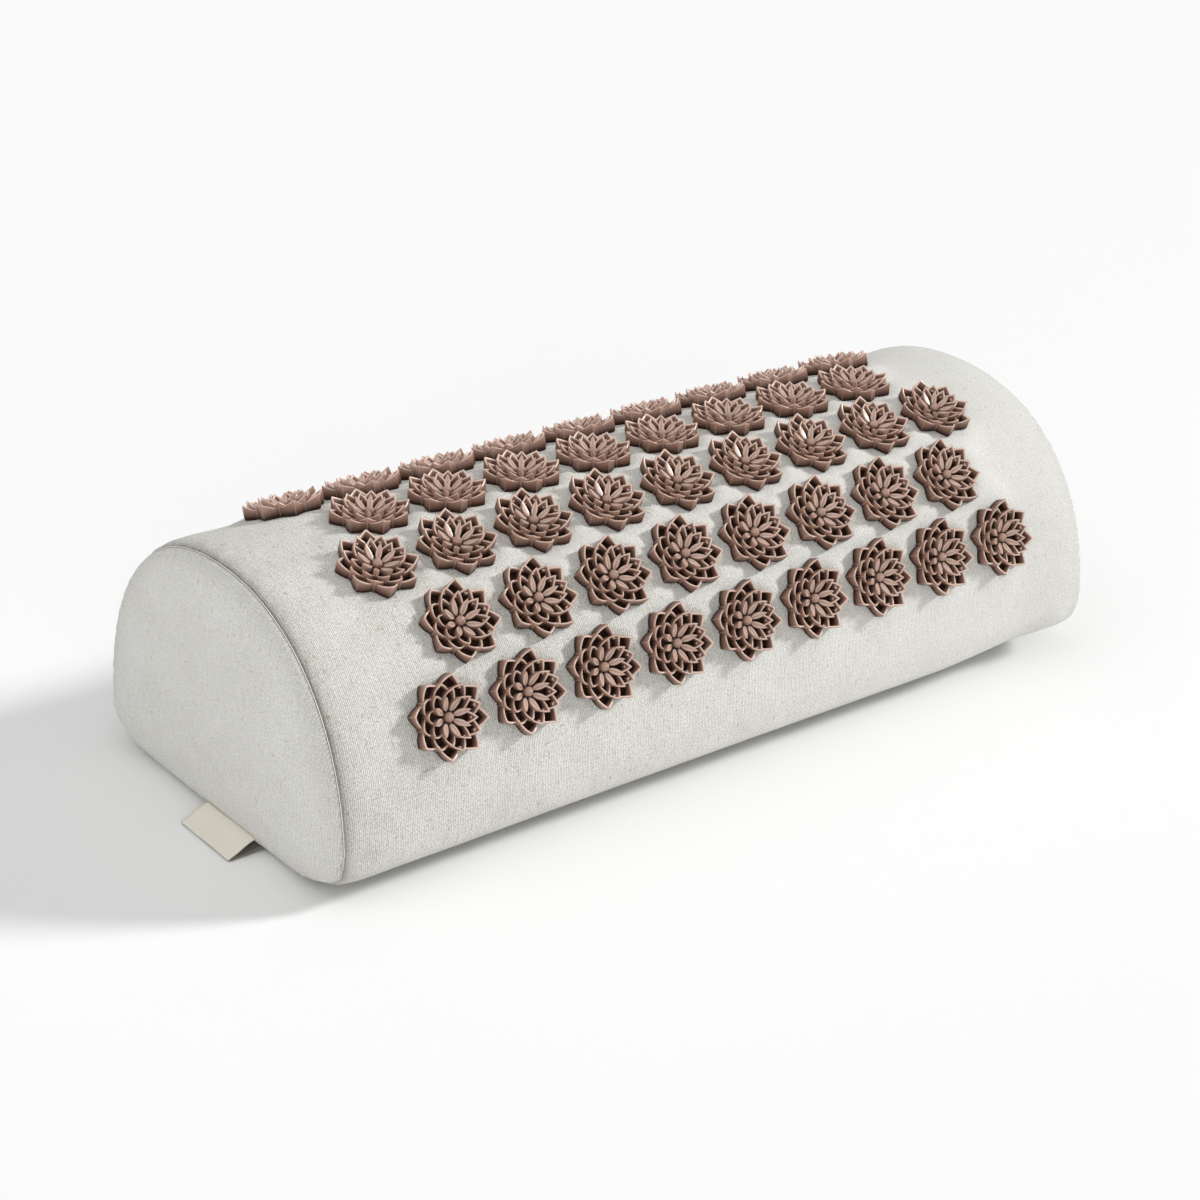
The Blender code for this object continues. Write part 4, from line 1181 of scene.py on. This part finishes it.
# zip in the rear wall
zipParts = {
    "tapeNear": 0.0009, "tapeFar": 0.0114, "tapeOut": -0.0018, "tapeThick": 0.00055, "halfTape": 0.1564,
    "tapeWave": 0.00004,
    "halfCoil": 0.1484, "coilPitch": 0.0012, "coilNose": 0.00045, "coilBack": 0.0027, "coilLow": -0.0011,
    "coilHigh": 0.0003, "wire": 0.00025, "coilSteps": 10,
    "sliderX": 0.1396, "sliderHalf": 0.0055, "sliderWide": 0.0042, "sliderNarrow": 0.0034, "plateLow": 0.0007,
    "plateHigh": 0.0019, "backLow": -0.0034, "backHigh": -0.0024, "plateSoft": 0.00035, "backSoft": 0.0003,
    "postAt": 0.0034, "postLong": 0.0014, "postHalf": 0.00032, "postSoft": 0.0001, "overlap": 0.0004,
    "bridgeHalf": 0.0026, "bridgeTop": 0.0045, "bridgeBar": 0.0010, "bridgeWide": 0.0014,
    "bridgeCorner": 0.0009,
    "pivotOut": 0.0027, "pullNear": 0.0005, "pullLength": 0.0240, "pullHalf": 0.0026, "pullThick": 0.0010,
    "pullSoft": 0.00012, "pullSunk": 0.00022, "pullRim": (0.00075, 0.00055), "pullPanel": (0.85, 0.89),
    "pullPoints": 48, "eyeHalf": 0.0010, "eyeEnd": 0.00366,
    "stopLength": 0.0030, "stopLow": 0.0007, "stopHigh": 0.0015, "stopSoft": 0.00022,
    "stitchUp": 0.0061, "stitchLength": 0.0026, "stitchGap": 0.0006, "stitchWire": 0.00022,
    "stitchEnd": 0.0020, "stitchOut": 0.00030, "stitchDip": 0.00055,
}


def placedOnWall(points, x=0.0, out=0.0, up=0.0):  # a shape of (along, out, up) put in its place on the wall
    return onWall(points[:, 0] + x, points[:, 1] + out, points[:, 2] + up)


def makeTape(name, node, side):  # a flat woven strip along the chain, a little wavy
    x = np.linspace(-1, 1, 120) * zipParts["halfTape"]
    up = np.linspace(zipParts["tapeNear"], zipParts["tapeFar"], 12) * side
    xx, uu = np.meshgrid(x, up, indexing="ij")
    out = zipParts["tapeOut"] + zipParts["tapeWave"] * ripple(xx + uu, (0.017, 0.029), 2.0 + side)
    faces = gridFaces(len(x), len(up))
    uv = gridUv(x * 10, up * 10).reshape(-1, 4, 2)
    turn = 1 if side < 0 else -1  # the upper tape's faces would point into the wall
    piece = newPiece(name, onWall(xx, out, uu).reshape(-1, 3), faces[:, ::turn], zipWeb, uv=uv[:, ::turn])
    giveThickness(piece, zipParts["tapeThick"])
    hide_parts(node)
    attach(piece, "pillow")


def tubeAlong(path, radius, sides, closed=False):
    # a circle carried along the path, square to it; an open tube's ends are drawn to a point
    way = np.gradient(path, axis=0) if not closed else np.roll(path, -1, 0) - np.roll(path, 1, 0)
    way /= np.linalg.norm(way, axis=1)[:, None]
    side = np.cross(way, np.array([0.9, 0.31, 0.27]) if not closed else np.array([1.0, 0.02, 0.03]))
    side /= np.linalg.norm(side, axis=1)[:, None]
    lift = np.cross(way, side)
    turn = 2 * np.pi * np.arange(sides) / sides
    size = np.full(len(path), radius)
    if not closed:
        size[0] = size[-1] = radius * 0.02
    ring = side[:, None] * np.cos(turn)[None, :, None] + lift[:, None] * np.sin(turn)[None, :, None]
    points = (path[:, None] + ring * size[:, None, None]).reshape(-1, 3)
    faces = loopedFaces(len(path), sides) if closed else gridFaces(len(path), sides, True)
    return points, quadsOut(points, faces)


def makeCoil(name, node, side):
    # a flattened helix: up over the nose, back along the top and under again, once in each pitch
    turns = int(2 * zipParts["halfCoil"] / zipParts["coilPitch"]) - 1
    t = np.arange(turns * zipParts["coilSteps"] + 1) / zipParts["coilSteps"]
    angle = 2 * np.pi * t
    middleUp = (zipParts["coilNose"] + zipParts["coilBack"]) / 2
    halfUp = (zipParts["coilBack"] - zipParts["coilNose"]) / 2 - zipParts["wire"]
    middleOut = (zipParts["coilLow"] + zipParts["coilHigh"]) / 2
    halfOut = (zipParts["coilHigh"] - zipParts["coilLow"]) / 2 - zipParts["wire"]
    x = (t - turns / 2 + (0.25 if side > 0 else -0.25)) * zipParts["coilPitch"]
    out = middleOut + halfOut * squared(np.sin(angle), 0.7)
    up = (middleUp - halfUp * squared(np.cos(angle), 0.7)) * side
    points, faces = tubeAlong(np.stack([x, out, up], -1), zipParts["wire"], 6)
    piece = newPiece(name, placedOnWall(points), faces, coilNylon)
    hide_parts(node)
    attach(piece, "pillow")
    print(name, "has", turns, "turns")


def superOutline(halfX, halfUp, power, sides=36, narrow=1.0):
    # |x/a|^p + |u/b|^p = 1, with b smaller towards the -x end
    angle = 2 * np.pi * (np.arange(sides) + 0.5) / sides
    x = halfX * squared(np.cos(angle), 2 / power)
    up = halfUp * squared(np.sin(angle), 2 / power)
    return np.stack([x, up * (narrow + (1 - narrow) * eased((x / halfX + 1) / 2))], 1)


def softBlock(outline, halfX, halfUp, low, high, soft):
    # an outline lifted from low to high, scaled in over its soft edges and closed at the middle of both faces
    inX, inUp = 1 - soft / halfX, 1 - soft / halfUp
    midX, midUp = 1 - 0.3 * soft / halfX, 1 - 0.3 * soft / halfUp
    layers = [(0.001, 0.001, low), (inX, inUp, low), (midX, midUp, low + 0.3 * soft), (1, 1, low + soft),
              (1, 1, high - soft), (midX, midUp, high - 0.3 * soft), (inX, inUp, high), (0.001, 0.001, high)]
    rings = np.stack([np.stack([outline[:, 0] * kx, np.full(len(outline), out), outline[:, 1] * ku], 1)
                      for kx, ku, out in layers])
    points = rings.reshape(-1, 3)
    return points, quadsOut(points, gridFaces(*rings.shape[:2], True)), {}


def makeBridge():
    # a flat bar bent over the pull's cross bar: its section is carried along a path with round corners
    bar, corner = zipParts["bridgeBar"], zipParts["bridgeCorner"]
    reach, top = zipParts["bridgeHalf"] - bar / 2, zipParts["bridgeTop"] - bar / 2
    foot = zipParts["plateHigh"] - zipParts["overlap"]
    bend = np.linspace(0, np.pi / 2, 7)
    left = np.stack([-reach + corner * (1 - np.cos(bend)), top - corner + corner * np.sin(bend)], 1)
    path = np.concatenate([[[-reach, foot]], left, (left * [-1, 1])[::-1], [[reach, foot]]])
    way = directions(path)
    normal = np.stack([-way[:, 1], way[:, 0]], 1)
    across = superOutline(bar / 2, zipParts["bridgeWide"] / 2, 3.5, 16)
    rings = np.stack([path[:, None, 0] + normal[:, None, 0] * across[None, :, 0],
                      path[:, None, 1] + normal[:, None, 1] * across[None, :, 0],
                      np.broadcast_to(across[None, :, 1], (len(path), len(across)))], -1)
    ends = [np.broadcast_to(rings[k].mean(0), rings[k].shape)[None] for k in (0, -1)]
    rings = np.concatenate([ends[0], rings, ends[1]])
    points = rings.reshape(-1, 3)
    return points, quadsOut(points, gridFaces(*rings.shape[:2], True)), {}


def makeSlider():  # two plates, the post between them and the bridge on top
    half, wide = zipParts["sliderHalf"], zipParts["sliderWide"]
    long, thin, overlap = zipParts["postLong"], zipParts["postHalf"], zipParts["overlap"]
    plan = superOutline(half, wide, 3.2, 40, zipParts["sliderNarrow"] / wide)
    front = softBlock(plan, half, wide, zipParts["plateLow"], zipParts["plateHigh"], zipParts["plateSoft"])
    back = softBlock(plan, half, wide, zipParts["backLow"], zipParts["backHigh"], zipParts["backSoft"])
    points, faces, _ = softBlock(superOutline(long, thin, 4.0, 16), long, thin, zipParts["backLow"] + overlap,
                                 zipParts["plateHigh"] - overlap, zipParts["postSoft"])
    post = (points + np.array([zipParts["postAt"], 0, 0]), faces, {})
    points, faces, _ = joinShapes([front, back, post, makeBridge()])
    piece = newPiece("zipSlider", placedOnWall(points, x=zipParts["sliderX"]), faces, zipMetal, sharp=35)
    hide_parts("zip_slider")
    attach(piece, "slider")


def makePull():
    # loops with matching points from the eye's edge out to the rim, up one face and down the other
    count = zipParts["pullPoints"]
    angle = 2 * np.pi * (np.arange(count) + 0.5) / count
    cosine, sine = np.cos(angle), np.sin(angle)
    near, far = zipParts["pullNear"], -zipParts["pullLength"]
    reach = (near - far) / 2
    x = reach * squared(cosine, 2 / 3.0)
    wide = zipParts["pullHalf"] * (0.80 + 0.20 * (1 - (x / reach)) / 2)  # broader at the free end
    outer = np.stack([(near + far) / 2 + x, wide * squared(sine, 2 / 3.0)], 1)
    eyeMiddle, eyeReach = (-near - zipParts["eyeEnd"]) / 2, (zipParts["eyeEnd"] - near) / 2
    eyeX = eyeMiddle + eyeReach * squared(cosine, 2 / 5.0)
    eye = np.stack([eyeX, zipParts["eyeHalf"] * squared(sine, 2 / 5.0)], 1)
    inward = eye - outer
    size = np.linalg.norm(inward, axis=1)[:, None]
    inward = inward / size
    high, soft = zipParts["pullThick"] / 2, zipParts["pullSoft"]
    sunk = high - zipParts["pullSunk"]
    # the eye's two loops, two a share of the way out, and the rim's; the panel between is a little sunk
    spots = [eye, eye - inward * soft] + [outer + inward * size * share for share in zipParts["pullPanel"]]
    spots += [outer + inward * np.minimum(way, size * 0.3) for way in (*zipParts["pullRim"], soft, 0.0)]
    heights = (high - soft, high, high, sunk, sunk, high, high, high - soft)
    top = np.stack([np.stack([spot[:, 0], np.full(count, height), spot[:, 1]], 1)
                    for spot, height in zip(spots, heights)])
    shape = np.concatenate([top, top[::-1] * np.array([1, -1, 1])])
    points = shape.reshape(-1, 3)
    faces = quadsOut(points, loopedFaces(*shape.shape[:2]))
    points = placedOnWall(points, x=zipParts["sliderX"], out=zipParts["pivotOut"])
    piece = newPiece("zipPull", points, faces, zipMetal, sharp=35)
    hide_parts("zip_pull")
    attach(piece, "pull")


def makeStops():  # clamped blocks with soft edges at the chain's ends
    half, low, high = zipParts["stopLength"] / 2, zipParts["stopLow"], zipParts["stopHigh"]
    for name, node, x, up, halfUp in (
        ("topStopUpper", "top_stop_upper", 1, 0.00185, 0.00095),
        ("topStopLower", "top_stop_lower", 1, -0.00185, 0.00095),
        ("bottomStop", "bottom_stop", -1, 0.0, 0.0028),
    ):
        plan = superOutline(half, halfUp, 4.0, 28)
        points, faces, _ = softBlock(plan, half, halfUp, low, high, zipParts["stopSoft"])
        points = placedOnWall(points, x=x * (zipParts["halfCoil"] - half), up=up)
        piece = newPiece(name, points, faces, zipMetal, sharp=35)
        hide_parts(node)
        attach(piece, "pillow")


def makeZipStitches():  # two rows of stitches that hold the tapes, and short rows across their ends
    step = zipParts["stitchLength"] + zipParts["stitchGap"]
    halfRun = halfZip + zipParts["stitchEnd"]
    count = int(2 * halfRun / step)
    t = np.linspace(-0.5, 0.5, 6)
    run = t * zipParts["stitchLength"]
    # each stitch lies on the cloth and dips in at its ends
    out = zipParts["stitchOut"] - zipParts["stitchDip"] * (2 * t) ** 4
    paths = []
    for up in (zipParts["stitchUp"], -zipParts["stitchUp"]):
        for middle in (np.arange(count) - (count - 1) / 2) * step:
            paths.append(np.stack([middle + run, out, np.full(6, up)], 1))
    for x in (-halfRun, halfRun):
        for up in (np.arange(4) - 1.5) * step:
            paths.append(np.stack([np.full(6, x), out, up + run], 1))
    points, faces, _ = joinShapes([(*tubeAlong(path, zipParts["stitchWire"], 6), {}) for path in paths])
    piece = newPiece("zipStitches", placedOnWall(points), faces, sewingThread)
    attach(piece, "pillow")
    print("zip stitches:", len(paths))


# the thread in each end seam, and its small twist
seamLine = {
    "inset": 0.00216, "out": 0.00004, "wire": 0.00017, "points": 900, "twist": 0.0024,
    "wave": (0.00004, 0.00003),
}


def makeSeamThread(name, side):  # the stitching that shows in the end seam, a thin twisted line
    s = np.linspace(-halfRound, halfRound, seamLine["points"], endpoint=False)
    y, z, ny, nz = sectionAt(s)
    waveIn, waveOut = seamLine["wave"]
    inset = seamLine["inset"] - (cover["rimOut"] if side > 0 else 0.0)
    inset = inset + waveIn * np.sin(2 * np.pi * s / seamLine["twist"])
    x = side * (halfLength + seamLine["out"] + waveOut * np.cos(2 * np.pi * s / seamLine["twist"]))
    path = tuckCorners(np.stack([x, y - inset * ny, np.maximum(z - inset * nz, seamLine["wire"])], 1))
    points, faces = tubeAlong(path, seamLine["wire"], 6, closed=True)
    piece = newPiece(name, points, faces, sewingThread)
    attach(piece, "pillow")


makeTape("zipTapeUpper", "zip_tape_upper", 1)
makeTape("zipTapeLower", "zip_tape_lower", -1)
makeCoil("zipCoilUpper", "zip_coil_upper", 1)
makeCoil("zipCoilLower", "zip_coil_lower", -1)
makeSlider()
makePull()
makeStops()
makeZipStitches()
makeSeamThread("seamThreadLeft", -1)
makeSeamThread("seamThreadRight", 1)
print("zip and threads made")


# floor and light
stageSettings = {
    "floorColour": (0.917, 0.917, 0.917), "floorHalf": 8.0, "floorZ": -0.00005, "world": 0.10, "seen": 0.947,
    # each sun's strength, spread in degrees, and the direction it shines from
    "suns": {
        "keySun": (2.25, 11.0, (0.80, -0.37, 0.51)),
        "fillSun": (0.70, 60.0, (-0.75, 0.10, 0.65)),
        "frontSun": (0.84, 50.0, (-0.55, -0.75, 0.35)),
        "topSun": (1.09, 100.0, (0.05, 0.15, 1.0)),
    },
    # a soft lamp beyond the right front corner, whose light falls off along the pillow
    "sideLamp": {"watts": 0.15, "size": 0.5, "place": (0.58, -0.44, 0.34), "aim": (0.12, 0.0, 0.06)},
}


def addLight(name, kind, strength, fromWay):  # it shines from the way given towards the middle
    lamp = bpy.data.lights.new(name, kind)
    lamp.energy = strength
    light = bpy.data.objects.new(name, lamp)
    bpy.context.scene.collection.objects.link(light)
    light.rotation_euler = Vector(fromWay).to_track_quat("Z", "Y").to_euler()
    return light


def makeStage(settings):
    size = settings["floorHalf"]
    corners = [[x * size, y * size, settings["floorZ"]] for x, y in ((-1, -1), (1, -1), (1, 1), (-1, 1))]
    material, _, shader = newMaterial("paleFloor")
    shader.inputs["Base Color"].default_value = (*settings["floorColour"], 1.0)
    shader.inputs["Roughness"].default_value = 0.9
    shader.inputs["Specular IOR Level"].default_value = 0.0
    floor = newPiece("studioFloor", corners, [[0, 1, 2, 3]], material)
    for name, (strength, spreadDeg, fromWay) in settings["suns"].items():
        addLight(name, "SUN", strength, fromWay).data.angle = math.radians(spreadDeg)
    side = settings["sideLamp"]
    lamp = addLight("sideLamp", "AREA", side["watts"], Vector(side["place"]) - Vector(side["aim"]))
    lamp.data.size = side["size"]
    lamp.location = side["place"]
    world = bpy.data.worlds.new("paleRoom")
    bpy.context.scene.world = world
    world.use_nodes = True
    tree = world.node_tree
    back = tree.nodes["Background"]
    back.inputs["Color"].default_value = (1.0, 1.0, 1.0, 1.0)
    ray = addNode(tree, "ShaderNodeLightPath")
    seen = mathNode(tree, "MAXIMUM", ray.outputs["Is Camera Ray"], ray.outputs["Is Glossy Ray"])
    seen = mathNode(tree, "MAXIMUM", seen, ray.outputs["Is Transmission Ray"])
    strength = rangeOf(tree, seen, 0.0, 1.0, settings["world"], settings["seen"])
    tree.links.new(strength, back.inputs["Strength"])


makeStage(stageSettings)
bpy.context.scene.view_settings.view_transform = "Standard"
print("stage made")
